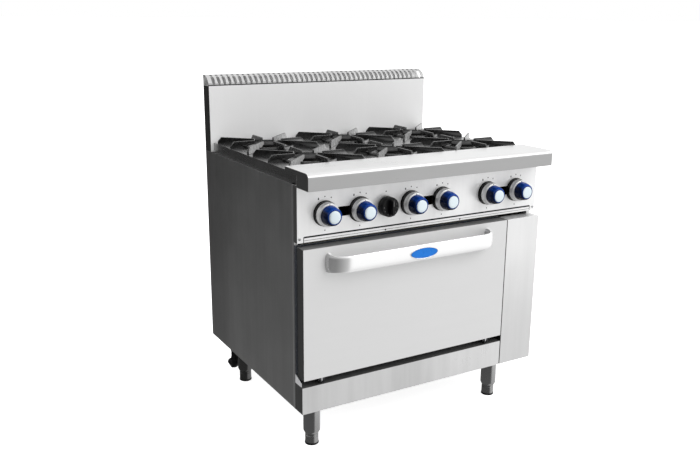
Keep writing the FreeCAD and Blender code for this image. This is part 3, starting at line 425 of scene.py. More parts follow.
# ---------------------------------------------------------------- materials
MATERIALS = {
    "casing_steel": brushed("casing_steel", 0.74, 0.36, "z", 0.02, 0.02, 0.015),
    # Painted shade on the side's top ledge and towards the back, and a painted highlight along its crease.
    "side_steel": brushed("side_steel", 0.66, 0.36, "z", 0.015, 0.03, 0.04, 0.05, top=0.16,
                          deep=(0.10, 0.32, 1.0, 0.76), crease_highlight=(-0.2905, 0.0035, 1.5)),
    "back_steel": brushed("back_steel", 0.70, 0.38, "z", 0.02, 0.03, 0.03),
    # Painted shade on the door's top and on faces that look left.
    "door_steel": brushed("door_steel", 0.71, 0.55, "x", 0.004, 0.004, 0.004, top=0.22, left=(0.4, 0.8, 0.045),
                          metal=0.3),
    # Painted light on the lower riser; painted shade on faces that look left and back.
    "riser_steel": brushed("riser_steel", 0.79, 0.58, "z", 0.004, 0.004, 0.004, left=(0.4, 0.8, 0.015),
                           fall=(0.87, 1.03, 1.06, 1.0), back=0.24, metal=0.15),
    # Painted shade on faces that look left.
    "panel_steel": brushed("panel_steel", 0.84, 0.34, "z", 0.004, 0.03, 0.05, 0.07, left=(0.4, 0.8, 0.08),
                           metal=0.5),
    # Painted shade on the kick panel's top and on faces that look left.
    "kick_steel": brushed("kick_steel", 0.645, 0.30, "z", 0.012, 0.04, 0.03, 0.08, top=0.16, left=(0.4, 0.8, 0.08),
                          metal=0.55),
    # Painted shade: darker towards the bottom and on faces that look left.
    "service_steel": brushed("service_steel", 0.795, 0.34, "z", 0.01, 0.02, 0.02, 0.03,
                             fall=(0.22, 0.62, 0.80, 1.0), left=(0.4, 0.8, 0.03), metal=0.5),
    # Painted light and shade: the rail's top is painted lighter than its front, its left end darker.
    "rail_steel": brushed("rail_steel", 0.428, 0.30, "x", 0.01, 0.01, 0.01, top=0.80, left=(0.4, 0.8, 0.11),
                          metal=0.7),
    "hob_steel": brushed("hob_steel", 0.42, 0.28, "y", 0.02, 0.04, 0.06),
    "cap_steel": brushed("cap_steel", 0.65, 0.40, "z", 0.02, 0.03, 0.06),
    "chassis_steel": cast_metal("chassis_steel", (0.055, 0.055, 0.057), 0.5),
    "duct_steel": cast_metal("duct_steel", (0.6, 0.61, 0.63), 0.4),
    # cast_iron's second number is the edge tone, partly wear and partly painted highlight; its last is painted
    # light on faces looking to the front right.
    "cast_iron": cast_iron("cast_iron", 0.004, 0.30, 0.26, 1.7, 0.44),
    "burner_iron": cast_iron("burner_iron", 0.006, 0.02, 0.65, 1.35, 0.008),
    "burner_alloy": cast_metal("burner_alloy", (0.045, 0.044, 0.042), 0.5),
    "oven_enamel": enamel("oven_enamel", (0.05, 0.055, 0.065), (0.35, 0.37, 0.4)),
    "insulation_wool": woven("insulation_wool", (0.75, 0.66, 0.36), 0.004),
    "seal_fibre": woven("seal_fibre", (0.3, 0.29, 0.27), 0.002),
    # Painted shade on the handle's faces that look left.
    "handle_steel": brushed("handle_steel", 0.98, 0.22, "x", 0.01, 0.01, 0.01, left=(0.03, 0.62, 0.42),
                            metal=0.5),
    "badge": moulded("badge", (0.008, 0.17, 0.62), 0.30, 0.1),
    "chrome": cast_metal("chrome", (0.86, 0.87, 0.88), 0.12, 60.0),
    # knob_blue's last number paints shade towards black on faces turned away from the upper right front.
    "knob_blue": moulded("knob_blue", (0.0003, 0.055, 0.36), 0.22, 0.06, 0.94),
    "knob_face": brushed("knob_face", 1.0, 0.35, "x", 0.01, 0.01, 0.01, tint=(0.85, 0.95, 1.0)),
    "knob_dial": brushed("knob_dial", 0.74, 0.36, "x", 0.02, 0.02, 0.02, metal=0.6),
    "knob_black": moulded("knob_black", (0.004, 0.004, 0.0045), 0.38, 0.05),
    "print_dark": moulded("print_dark", (0.02, 0.02, 0.022), 0.5, 0.0),
    "print_light": moulded("print_light", (0.16, 0.16, 0.16), 0.5, 0.0),
    "brass": cast_metal("brass", (0.20, 0.14, 0.06), 0.45),
    "pipe_steel": cast_metal("pipe_steel", (0.16, 0.16, 0.165), 0.45),
    "inlet_black": cast_metal("inlet_black", (0.035, 0.035, 0.037), 0.45),
    # Painted shade: legs and feet darker towards the back.
    "leg_steel": brushed("leg_steel", 0.46, 0.22, "z", 0.015, 0.02, 0.02, deep=(-0.1, 0.1, 1.0, 0.3)),
    "foot_steel": brushed("foot_steel", 0.40, 0.26, "z", 0.015, 0.02, 0.02, deep=(-0.1, 0.1, 1.0, 0.3)),
    "wire_steel": cast_metal("wire_steel", (0.78, 0.78, 0.79), 0.18),
    "screw_steel": cast_metal("screw_steel", (0.62, 0.62, 0.63), 0.3),
    "pin_steel": cast_metal("pin_steel", (0.55, 0.55, 0.56), 0.3),
    # Pale grey for the corner tab: a painted highlight.
    "pale_tab_highlight": moulded("pale_tab_highlight", (0.45, 0.45, 0.46), 0.4, 0.0),
    "ear_steel": cast_metal("ear_steel", (0.05, 0.05, 0.052), 0.5),
}

NODE_LOOK = {
    "side_panel_left": "side_steel",
    "side_panel_right": "side_steel",
    "back_panel": "back_steel",
    "splashback": "riser_steel",
    "door_skin": "door_steel",
    "control_panel": "panel_steel",
    "kick_panel": "kick_steel",
    "service_panel": "service_steel",
    "crumb_tray": "panel_steel",
    "hinge_brackets": "ear_steel",
}


# ---------------------------------------------------------------- mesh helpers
def round_about(axis):
    """Two directions at right angles to the axis."""
    first = X if abs(axis.x) < 0.9 else Z
    u = (first - axis * first.dot(axis)).normalized()
    return u, axis.cross(u)


class Shape:
    """Collects closed forms in millimetres and turns them into one piece."""

    def __init__(self):
        self.bm = bmesh.new()

    def grid(self, rows, loop=False, caps=True):
        """Skin over rings of points; loop joins the last ring to the first."""
        rings = [[self.bm.verts.new(p) for p in row] for row in rows]
        pairs = list(zip(rings, rings[1:])) + ([(rings[-1], rings[0])] if loop else [])
        count = len(rings[0])
        for a, b in pairs:
            for i in range(count):
                j = (i + 1) % count
                self.bm.faces.new((a[i], a[j], b[j], b[i]))
        if caps and not loop:
            self.bm.faces.new(rings[0][::-1])
            self.bm.faces.new(rings[-1])
        return self

    def lathe(self, origin, axis, profile, segments=64, loop=False, radius=None):
        """profile is (distance along the axis, radius); radius(r, t, angle) may change it."""
        u, w = round_about(axis)
        rows = []
        for t, r in profile:
            row = []
            for i in range(segments):
                angle = math.tau * i / segments
                reach = radius(r, t, angle) if radius else r
                row.append(origin + axis * t + (u * math.cos(angle) + w * math.sin(angle)) * reach)
            rows.append(row)
        return self.grid(rows, loop)

    def sweep(self, path, up, section, loop=False):
        """section is (across, upward) about each point of a path that lies square to up."""
        rows = []
        count = len(path)
        for i, point in enumerate(path):
            before = path[i - 1] if (i or loop) else point
            after = path[(i + 1) % count] if (i < count - 1 or loop) else point
            tangent = (after - before).normalized()
            across = tangent.cross(up).normalized()
            rows.append([point + across * a + up * b for a, b in section])
        return self.grid(rows, loop)

    def prism(self, outline, push):
        """Flat outline pushed along a vector."""
        return self.grid([outline, [p + push for p in outline]])

    def slab(self, low, high):
        outline = [Vector((low[0], low[1], low[2])), Vector((high[0], low[1], low[2])),
                   Vector((high[0], high[1], low[2])), Vector((low[0], high[1], low[2]))]
        return self.prism(outline, Z * (high[2] - low[2]))

    def tube(self, path, radius, segments=16):
        """Round bar along free points."""
        rows = []
        u = None
        for i, point in enumerate(path):
            tangent = (path[min(i + 1, len(path) - 1)] - path[max(i - 1, 0)]).normalized()
            if u is None:
                u = round_about(tangent)[0]
            u = (u - tangent * u.dot(tangent)).normalized()
            w = tangent.cross(u)
            rows.append([point + (u * math.cos(math.tau * k / segments)
                                  + w * math.sin(math.tau * k / segments)) * radius
                         for k in range(segments)])
        return self.grid(rows)

    def mesh(self, name):
        bmesh.ops.recalc_face_normals(self.bm, faces=self.bm.faces)
        mesh = bpy.data.meshes.new(name)
        self.bm.to_mesh(mesh)
        self.bm.free()
        mesh.transform(Matrix.Scale(MM, 4))
        return mesh

    def finish(self, name, body, slot, look=None, stands_for=(), bevel=0.0, steps=2, crease=30):
        return piece(name, self.mesh(name), body, slot, look, stands_for, bevel, steps, crease)


def piece(name, mesh, body, slot, look=None, stands_for=(), bevel=0.0, steps=2, crease=30):
    """Shade a mesh, give it its finish and let it ride on its body."""
    mesh.shade_smooth()
    mesh.set_sharp_from_angle(angle=math.radians(crease))
    mesh.materials.clear()
    mesh.materials.append(MATERIALS[look or slot])
    obj = bpy.data.objects.new(name, mesh)
    bpy.context.scene.collection.objects.link(obj)
    if bevel:
        add_bevel(obj, bevel, steps, crease)
    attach(obj, body)
    if stands_for:
        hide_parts(*stands_for)
    return obj


def add_bevel(obj, width, steps=2, crease=30, hard=True):
    bevel = obj.modifiers.new("edge", "BEVEL")
    bevel.width = width * MM
    bevel.segments = steps
    bevel.limit_method = "ANGLE"
    bevel.angle_limit = math.radians(crease)
    bevel.harden_normals = hard


def arc(centre, u, w, radius, start, end, steps):
    """Points of an arc in the plane of u and w; angles in degrees."""
    angles = [math.radians(start + (end - start) * i / steps) for i in range(steps + 1)]
    return [centre + (u * math.cos(a) + w * math.sin(a)) * radius for a in angles]


def rounded(centre, u, w, half_u, half_w, radius, steps=6):
    """Outline of a rectangle with round corners."""
    points = []
    for su, sw, start in ((1, 1, 0), (-1, 1, 90), (-1, -1, 180), (1, -1, 270)):
        corner = centre + u * (su * (half_u - radius)) + w * (sw * (half_w - radius))
        points += arc(corner, u, w, radius, start, start + 90, steps)
    return points


def superellipse(half_a, half_b, power, count):
    """Section that is rounder than a box and fuller than an ellipse."""
    points = []
    for i in range(count):
        a = math.tau * i / count
        c, s = math.cos(a), math.sin(a)
        points.append((half_a * math.copysign(abs(c) ** (2 / power), c),
                       half_b * math.copysign(abs(s) ** (2 / power), s)))
    return points


# ---------------------------------------------------------------- controls
PANEL_Y = extent("control_panel")[0].y
KNOB_STAND_OFF = 3.6
FRONT = -Y


def knob_centre(node):
    low, high = extent(node)
    return Vector(((low.x + high.x) / 2, PANEL_Y - KNOB_STAND_OFF, (low.z + high.z) / 2))


def panel_centre(node):
    """The point of the control panel's face behind a knob."""
    centre = knob_centre(node)
    centre.y = PANEL_Y
    return centre


def spindle(node, centre, name):
    """Turned shaft from inside the knob to its far end behind the panel."""
    end = extent(node)[1].y - centre.y
    Shape().lathe(centre, Y, [(-6, 5), (end - 1, 5), (end, 4)], 32).finish(name, node, "pin_steel")


def scalloped(count, depth, start, end):
    """Radius function: shallow finger scallops between two distances along the knob."""
    def radius(r, t, angle):
        inside = max(0.0, min(1.0, (t - start) / 6, (end - t) / 6))
        return r - depth * inside * (0.5 - 0.5 * math.cos(count * angle)) ** 1.4
    return radius


def knob(i):
    node = f"knob_{i}"
    centre = knob_centre(node)
    ring = [(0, 30), (0, 36.4), (0.7, 37), (9.2, 37), (10, 36.4), (10, 30)]
    Shape().lathe(centre, FRONT, ring, 96, loop=True).finish(
        f"knob_ring_{i}", node, "knob_black", stands_for=[node])
    dial = [(10, 12), (10, 35.4), (10.6, 36), (23.5, 35.0), (25.2, 34.2), (26, 32.8), (26, 12)]
    Shape().lathe(centre, FRONT, dial, 96, loop=True).finish(f"knob_dial_{i}", node, "knob_blue", "knob_dial")
    grip = [(26, 6), (26, 29.4), (26.8, 30), (34, 29.6), (42, 28.6), (48, 27.2), (51.5, 25.9), (54, 24.3),
            (55.6, 22.6), (56.2, 21.0), (56.0, 19.8), (55.0, 19.4), (55.0, 6)]
    Shape().lathe(centre, FRONT, grip, 128, radius=scalloped(10, 0.9, 28, 54)).finish(
        f"knob_grip_{i}", node, "knob_blue")
    face = [(55.0, 4), (55.0, 19.0), (56.6, 19.0), (57.2, 18.4), (57.7, 16), (57.95, 10), (58, 3)]
    Shape().lathe(centre, FRONT, face, 96).finish(f"knob_face_{i}", node, "knob_blue", "knob_face")
    spindle(node, centre, f"knob_spindle_{i}")
    mark = Shape().slab((centre.x - 1.2, centre.y - 26.2, centre.z + 30.4),
                        (centre.x + 1.2, centre.y - 25.8, centre.z + 33.2))
    mark.finish(f"knob_mark_{i}", node, "knob_black")


def bezels():
    """Thin black rings fixed to the panel round the burner knobs."""
    shape = Shape()
    for i in range(1, 7):
        centre = panel_centre(f"knob_{i}")
        shape.lathe(centre, FRONT, [(-0.2, 9), (-0.2, 38.5), (0.3, 38.5), (0.45, 38.2), (0.45, 9)], 96, loop=True)
    shape.finish("knob_bezels", "range", "knob_black")


def digit(text, place, height, body, name, look):
    """A number as thin raised print, facing the front."""
    curve = bpy.data.curves.new(name, "FONT")
    curve.body = text
    curve.align_x = "CENTER"
    curve.align_y = "CENTER"
    curve.size = height * MM
    curve.extrude = 0.12 * MM
    source = bpy.data.objects.new(name + "_source", curve)
    mesh = bpy.data.meshes.new_from_object(source)
    bpy.data.objects.remove(source)
    mesh.transform(Matrix.Translation(place * MM) @ Matrix.Rotation(math.radians(90), 4, "X"))
    piece(name, mesh, body, "knob_black", look)


def thermostat():
    node = "thermostat_knob"
    centre = knob_centre(node)
    drum = [(0, 8), (0, 30.2), (0.8, 31), (20.5, 30.6), (23.0, 29.8), (24, 28.4), (24, 8)]
    Shape().lathe(centre, FRONT, drum, 120, radius=scalloped(24, 0.5, -4, 24)).finish(
        "thermostat_skirt", node, "knob_black", stands_for=[node])
    length = 42
    bar = rounded(centre + FRONT * 23.8, X, Z, 6, 24.5, 5)
    top = rounded(centre + FRONT * length, X, Z, 4.6, 22.5, 4)
    Shape().grid([bar, top]).finish("thermostat_bar", node, "knob_black", bevel=1.2, steps=3)
    Shape().slab((centre.x - 0.8, centre.y - length - 0.15, centre.z + 6),
                 (centre.x + 0.8, centre.y - length + 0.4, centre.z + 21)).finish(
        "thermostat_pointer", node, "knob_black", "print_light")
    spindle(node, centre, "thermostat_spindle")
    print_r, print_step = 23, 34
    for n in range(1, 9):
        angle = math.radians(90 - n * print_step)
        place = centre + X * (print_r * math.cos(angle)) + Z * (print_r * math.sin(angle)) + FRONT * 24.05
        digit(str(n), place, 6.5, node, f"thermostat_number_{n}", "print_light")


def flame(centre, height):
    """Drop-shaped print for a flame setting."""
    outline = []
    for i in range(24):
        a = math.tau * i / 24
        across = 0.42 * height * math.sin(a) * abs(math.sin(a / 2)) ** 1.4
        outline.append(centre + X * across + Z * (0.5 * height * math.cos(a)))
    return outline


def panel_marks():
    """Generic setting symbols around each burner knob."""
    depth = 0.25
    for i in range(1, 7):
        centre = panel_centre(f"knob_{i}")
        marks = Shape()
        marks.lathe(centre + Z * 50, FRONT, [(-0.2, 1.9), (depth, 1.9)], 24)
        for place, height in ((X * -21 + Z * 45.5, 7.5), (X * 21 + Z * 45.5, 5.0), (Z * -50, 5.0)):
            marks.prism(flame(centre + place + Y * 0.2, height), FRONT * (depth + 0.2))
        marks.finish(f"panel_marks_{i}", "range", "casing_steel", "print_dark")
    centre = panel_centre("thermostat_knob")
    Shape().lathe(centre + Z * 44, FRONT, [(-0.2, 2.0), (depth, 2.0)], 24).finish(
        "panel_mark_thermostat", "range", "casing_steel", "print_dark")


def screw_head(shape, place, axis, radius, height, drive=0.32):
    """Pan head with a round socket."""
    profile = [(0, radius * 0.6), (0, radius), (height * 0.45, radius * 0.97), (height * 0.8, radius * 0.8),
               (height, radius * 0.5), (height, radius * drive), (height * 0.45, radius * drive * 0.9)]
    shape.lathe(place, axis, profile, 32)
    return shape


# ---------------------------------------------------------------- rail, door furniture
def front_rail():
    """Bull-nosed rail: smooth bend, flat ends and the hook behind it."""
    low, high = extent("front_rail")
    radius = 14.0
    step_z = extent("cooktop")[1].z
    outline = arc(Vector((low.x, low.y + radius, high.z - radius)), -Y, Z, radius, 0, 90, 18)
    outline += [Vector((low.x, high.y, high.z)), Vector((low.x, high.y, step_z)),
                Vector((low.x, PANEL_Y, step_z)), Vector((low.x, PANEL_Y, low.z)),
                Vector((low.x, low.y, low.z))]
    Shape().prism(outline, X * (high.x - low.x)).finish(
        "rail_skin", "range", "rail_steel", stands_for=["front_rail"], bevel=1.0, steps=3)


def handle_path(low, high, thick):
    """Centre line of the bow from one door end to the other, square to Z."""
    long, bend = 66.0, 40.0
    z = (low.z + high.z) / 2
    front = low.y + thick / 2
    left, right = low.x + thick / 2, high.x - thick / 2
    turns = [math.radians(90 * k / 24) for k in range(25)]
    path = [Vector((left + long * (1 - math.cos(a)), front + bend * (1 - math.sin(a)), z)) for a in turns]
    path += [Vector((left + long + (right - left - 2 * long) * k / 12, front, z)) for k in range(1, 12)]
    path += [Vector((left + right - p.x, p.y, z)) for p in path[:25][::-1]]
    return [Vector((left, high.y, z))] + path + [Vector((right, high.y, z))]


def door_handle():
    """Bow of flat-oval section that flares where it meets the door."""
    low, high = extent("door_handle")
    thick, tall, foot = 12.0, 50.0, high.z - low.z
    path = handle_path(low, high, thick)
    rows = []
    for i, point in enumerate(path):
        before, after = path[max(i - 1, 0)], path[min(i + 1, len(path) - 1)]
        across = (after - before).normalized().cross(Z)
        depth = high.y - point.y
        flare = max(0.0, 1.0 - depth / 34.0) ** 1.6
        half_t = (thick + 13.0 * flare) / 2
        half_h = (tall + (foot - tall) * flare) / 2
        inward = X * (math.copysign(6.5, (low.x + high.x) / 2 - point.x) * flare)
        rows.append([point + inward + across * a + Z * b for a, b in superellipse(half_t, half_h, 2.4, 64)])
    Shape().grid(rows).finish("handle_bow", "door", "handle_steel", stands_for=["door_handle"], crease=60)


def badge():
    """Blank oval plate in a thin bright rim."""
    low, high = extent("handle_badge")
    centre = (low + high) / 2
    centre.y = high.y
    half_u, half_w = (high.x - low.x) / 2, (high.z - low.z) / 2
    thick = high.y - low.y

    def oval(depth, inset):
        return [centre + FRONT * depth + X * ((half_u - inset) * math.cos(math.tau * k / 96))
                + Z * ((half_w - inset) * math.sin(math.tau * k / 96)) for k in range(96)]

    rim = [oval(thick * d, inset) for d, inset in
           ((-0.8, 1.0), (0, 0), (0.7, 0), (0.95, 0.4), (1.0, 0.9), (0.9, 1.3), (0.6, 1.6))]
    Shape().grid(rim).finish("badge_rim", "door", "badge", "chrome", stands_for=["handle_badge"])
    plate = [oval(thick * d, inset) for d, inset in
             ((0.4, 1.5), (0.66, 1.5), (0.80, 3.0), (0.90, 6.0), (0.94, 9.0))]
    Shape().grid(plate).finish("badge_plate", "door", "badge")


# ---------------------------------------------------------------- hob
def union(base, other, name):
    """One closed mesh from two."""
    a = bpy.data.objects.new(name + "_a", base)
    b = bpy.data.objects.new(name + "_b", other)
    for obj in (a, b):
        bpy.context.scene.collection.objects.link(obj)
    cut = a.modifiers.new("union", "BOOLEAN")
    cut.operation = "UNION"
    cut.solver = "EXACT"
    cut.object = b
    add_bevel(a, 0.9, 2, 35)
    bpy.context.view_layer.update()
    made = bpy.data.meshes.new_from_object(a.evaluated_get(bpy.context.evaluated_depsgraph_get()))
    made.name = name
    for obj in (a, b):
        bpy.data.objects.remove(obj)
    return made


def grate_mesh():
    """Eight drafted fins on a ring, about the origin at the height of the first grate."""
    low, high = extent("grate_1")
    half_w, half_d = (high.x - low.x) / 2, (high.y - low.y) / 2
    base, top = low.z, high.z
    hub, ring, bar = 49.0, 88.0, 8.0
    heading = math.atan2(half_d, half_w)
    corner = math.hypot(half_w, half_d) - 10
    ring_profile = [(0, ring - bar / 2), (0, ring + bar / 2),
                    (bar, ring + bar / 2 - 0.8), (bar, ring - bar / 2 + 0.8)]
    ring_shape = Shape().lathe(Z * base, Z, ring_profile, 96, loop=True)
    fins = Shape()
    for k in range(8):
        reach = corner if k % 2 else (half_w if k % 4 == 0 else half_d)
        angle = [0, heading, math.pi / 2, math.pi - heading, math.pi, math.pi + heading,
                 -math.pi / 2, -heading][k]
        profile = [(hub, top), (reach - 12, top), (reach, base + bar), (reach, base), (ring + 6, base),
                   (ring - 8, base + 4), (hub, top - 10)]
        out = Vector((math.cos(angle), math.sin(angle), 0))
        side = Z.cross(out)
        rows = []
        for sign in (-1, 1):
            rows.append([out * s + Z * z + side * (sign * (3.7 - 1.1 * (z - base) / (top - base)))
                         for s, z in profile])
        fins.grid(rows)
    return union(ring_shape.mesh("grate_ring"), fins.mesh("grate_fins"), "grate")


def grates():
    mesh = grate_mesh()
    for i in range(1, 7):
        low, high = extent(f"grate_{i}")
        copy = mesh.copy()
        copy.transform(Matrix.Translation(Vector(((low.x + high.x) / 2, (low.y + high.y) / 2, 0)) * MM))
        piece(f"grate_casting_{i}", copy, f"grate_{i}", "cast_iron", stands_for=[f"grate_{i}"])


def notched(count, depth, start, end):
    """Radius function: square notches round the rim between two heights."""
    def radius(r, t, angle):
        inside = start <= t <= end and math.cos(count * angle) > 0.2
        return r - depth if inside else r
    return radius


def burners():
    """Cup and ported cap of each burner."""
    cups = Shape()
    caps = Shape()
    hob_top = extent("cooktop")[1].z
    for i in range(1, 7):
        low, high = extent(f"grate_{i}")
        place = Vector(((low.x + high.x) / 2, (low.y + high.y) / 2, hob_top))
        cup = [(-30, 21), (-30, 24), (-0.2, 24), (0, 40), (5, 40), (7, 38.5), (7, 30), (2, 22)]
        cups.lathe(place, Z, cup, 96, loop=True)
        cap = [(7, 8), (7, 44), (7.4, 45), (10.2, 45), (11.2, 44.2), (12.4, 39), (13.2, 34), (13.2, 20),
               (12.6, 18), (12.6, 6)]
        caps.lathe(place, Z, cap, 240, radius=notched(40, 2.2, 7, 9.5))
    cups.finish("burner_cups", "range", "burner_alloy", stands_for=["burner_bases"])
    caps.finish("burner_tops", "range", "burner_iron", stands_for=["burner_caps"])


def circle_through(a, b, c):
    """Centre (y, z) of the circle through three (y, z) points."""
    ax, ay, bx, by, cx, cy = *a, *b, *c
    d = 2 * (ax * (by - cy) + bx * (cy - ay) + cx * (ay - by))
    y = ((ax**2 + ay**2) * (by - cy) + (bx**2 + by**2) * (cy - ay) + (cx**2 + cy**2) * (ay - by)) / d
    z = ((ax**2 + ay**2) * (cx - bx) + (bx**2 + by**2) * (ax - cx) + (cx**2 + cy**2) * (bx - ax)) / d
    return y, z


def flue_cap():
    """Pressed louvre cap: crowned slats, a long slot between each two and small slots behind."""
    low, high = extent("flue_cap")
    lip, rise = 10.0, 26.0
    pitch, slot_w, sheet = 20.0, 11.0, 2.0
    run = high.y - low.y
    knee = low.z + lip
    a, b, c = (low.y, knee), (low.y + 0.293 * run, knee + 0.62 * rise), (high.y, high.z - 0.3)
    cy, cz = circle_through(a, b, c)
    radius = math.hypot(a[0] - cy, a[1] - cz)
    start, end = math.atan2(a[1] - cz, a[0] - cy), math.atan2(c[1] - cz, c[0] - cy)
    if start < end:
        start += math.tau
    stops = [0.0, 0.06, 0.14, 0.22, 0.30, 0.38, 0.44, 0.50, 0.56, 0.62, 0.68, 0.74, 0.80, 0.90, 1.0]
    stations = [(low.y, low.z), (low.y, low.z + 2.5), (low.y, low.z + 6.0)]
    for f in stops:
        angle = start + (end - start) * f
        stations.append((cy + radius * math.cos(angle), cz + radius * math.sin(angle)))
    stations += [(high.y, high.z - 8), (high.y, low.z)]
    waist = {1: 0.3, 2: 0.6, 3: 0.8, 9: 0.8, 10: 0.3, 11: 0.6, 12: 0.8, 13: 0.8, 14: 0.5}
    long_slot = range(1, 10)
    short_slot = range(11, 14)
    count = int((high.x - low.x + slot_w - pitch) / pitch)
    middle = (low.x + high.x) / 2
    first = middle - (count - 1) / 2 * pitch - slot_w / 2
    columns = [(low.x, 0, 0), ((low.x + first) / 2, 0, 0)]
    kinds = ["plain", "plain"]
    for i in range(count):
        left = first + i * pitch
        centre = left + slot_w / 2
        columns += [(left, centre, -1), (centre, centre, 0), (left + slot_w, centre, 1)]
        kinds += ["slot", "slot"]
        if i < count - 1:
            columns += [(left + slot_w + (pitch - slot_w) * k / 4, 0, 0) for k in (1, 2, 3)]
            kinds += ["slat"] * 4
    columns += [((first + (count - 1) * pitch + slot_w + high.x) / 2, 0, 0), (high.x, 0, 0)]
    kinds += ["plain", "plain"]
    shape = Shape()
    bm = shape.bm
    verts = {}
    for ci, (x, centre, side) in enumerate(columns):
        for si, (y, z) in enumerate(stations):
            edge = centre + side * slot_w / 2 * waist.get(si, 1.0) if side else x
            verts[ci, si] = bm.verts.new((edge, y, z))
    for ci, kind in enumerate(kinds):
        for si in range(len(stations) - 1):
            if kind == "slot" and (si in long_slot or si in short_slot):
                continue
            bm.faces.new((verts[ci, si], verts[ci + 1, si], verts[ci + 1, si + 1], verts[ci, si + 1]))
    loose = [v for v in bm.verts if not v.link_faces]
    bmesh.ops.delete(bm, geom=loose, context="VERTS")
    obj = piece("flue_louvres", shape.mesh("flue_louvres"), "range", "casing_steel", "cap_steel",
                stands_for=["flue_cap"])
    skin = obj.modifiers.new("sheet", "SOLIDIFY")
    skin.thickness = sheet * MM
    skin.offset = -1.0
    add_bevel(obj, 0.5, 1, 40)
    # Painted shadow: a dark strip along the foot of the cap's front, where the seam lies in shade.
    front = low.y - 2.6
    Shape().slab((low.x, front, low.z - 0.3), (high.x, low.y - 0.1, low.z + 3.5)).finish(
        "flue_joint_shadow", "range", "casing_steel", "print_dark", bevel=0.6)


# ---------------------------------------------------------------- oven
def door_liner():
    """Inner door sheet with a pressed field inside the seal."""
    low, high = extent("door_liner")
    inner_low, inner_high = extent("door_seal")
    centre = (low + high) / 2
    field = Vector(((inner_low.x + inner_high.x) / 2, 0, (inner_low.z + inner_high.z) / 2))
    half_u, half_w = (inner_high.x - inner_low.x) / 2 - 30, (inner_high.z - inner_low.z) / 2 - 30
    rows = []
    for y, outline in ((low.y, (centre, (high.x - low.x) / 2, (high.z - low.z) / 2, 2)),
                       (high.y, (centre, (high.x - low.x) / 2, (high.z - low.z) / 2, 2)),
                       (high.y, (field, half_u, half_w, 26)),
                       (high.y + 1.2, (field, half_u - 2.0, half_w - 2.0, 25)),
                       (high.y + 3.0, (field, half_u - 8.0, half_w - 8.0, 20)),
                       (high.y + 3.4, (field, half_u - 12.0, half_w - 12.0, 18))):
        middle, u, w, r = outline
        rows.append(rounded(Vector((middle.x, y, middle.z)), X, Z, u, w, r, 8))
    Shape().grid(rows).finish("door_inner_sheet", "door", "casing_steel", "door_steel",
                              stands_for=["door_liner"], bevel=0.4, crease=60)


def door_seal():
    """Braided seal laid round the mouth."""
    low, high = extent("door_seal")
    width, depth = 12.0, high.y - low.y
    centre = (low + high) / 2
    path = rounded(centre, X, Z, (high.x - low.x) / 2 - width / 2, (high.z - low.z) / 2 - width / 2, 12, 8)
    dense = []
    for a, b in zip(path, path[1:] + path[:1]):
        steps = max(1, int((b - a).length / 6))
        dense += [a.lerp(b, k / steps) for k in range(steps)]
    section = superellipse(width / 2, depth / 2, 2.4, 20)
    Shape().sweep(dense, Y, section, loop=True).finish("seal_braid", "door", "seal_fibre",
                                                       stands_for=["door_seal"], crease=60)


# ---------------------------------------------------------------- legs and gas
def legs():
    tubes = Shape()
    plates = Shape()
    casing_bottom = extent("side_panel_left")[0].z
    for i in range(1, 5):
        low, high = extent(f"foot_{i}")
        place = Vector(((low.x + high.x) / 2, (low.y + high.y) / 2, 0))
        profile = [(38, 8.05), (38, 21.6), (38.8, 22.6), (45.5, 26.0), (48, 26.5), (casing_bottom, 26.5),
                   (casing_bottom, 24.5), (60, 24.5), (60, 8.05)]
        tubes.lathe(place, Z, profile, 96, loop=True)
        outline = rounded(place + Z * casing_bottom, X, Y, 40, 40, 6)
        front = extent("side_panel_left")[0].y + 1.5
        outline = [Vector((p.x, max(p.y, front), p.z)) for p in outline]
        plates.prism(outline, Z * 3.0)
        pad = Shape().lathe(place, Z, [(0, 8), (0, 21), (0.8, 22), (5.2, 22), (6, 21.4), (6, 8)], 96)
        pad.finish(f"foot_pad_{i}", f"foot_{i}", "foot_steel", "knob_black", stands_for=[f"foot_{i}"])
        body = [(6, 6), (6, 20.2), (6.8, 21), (29.6, 21), (30.2, 20.2), (31.4, 20.2), (32, 21), (36.8, 21),
                (37.6, 20.2), (37.6, 8), (93, 8), (93.7, 7.2), (93.7, 3)]
        Shape().lathe(place, Z, body, 96).finish(f"foot_body_{i}", f"foot_{i}", "foot_steel")
    tubes.finish("leg_sleeves", "range", "leg_steel", stands_for=["leg_tubes"])
    plates.finish("leg_plates", "range", "leg_steel", "chassis_steel", bevel=0.4)


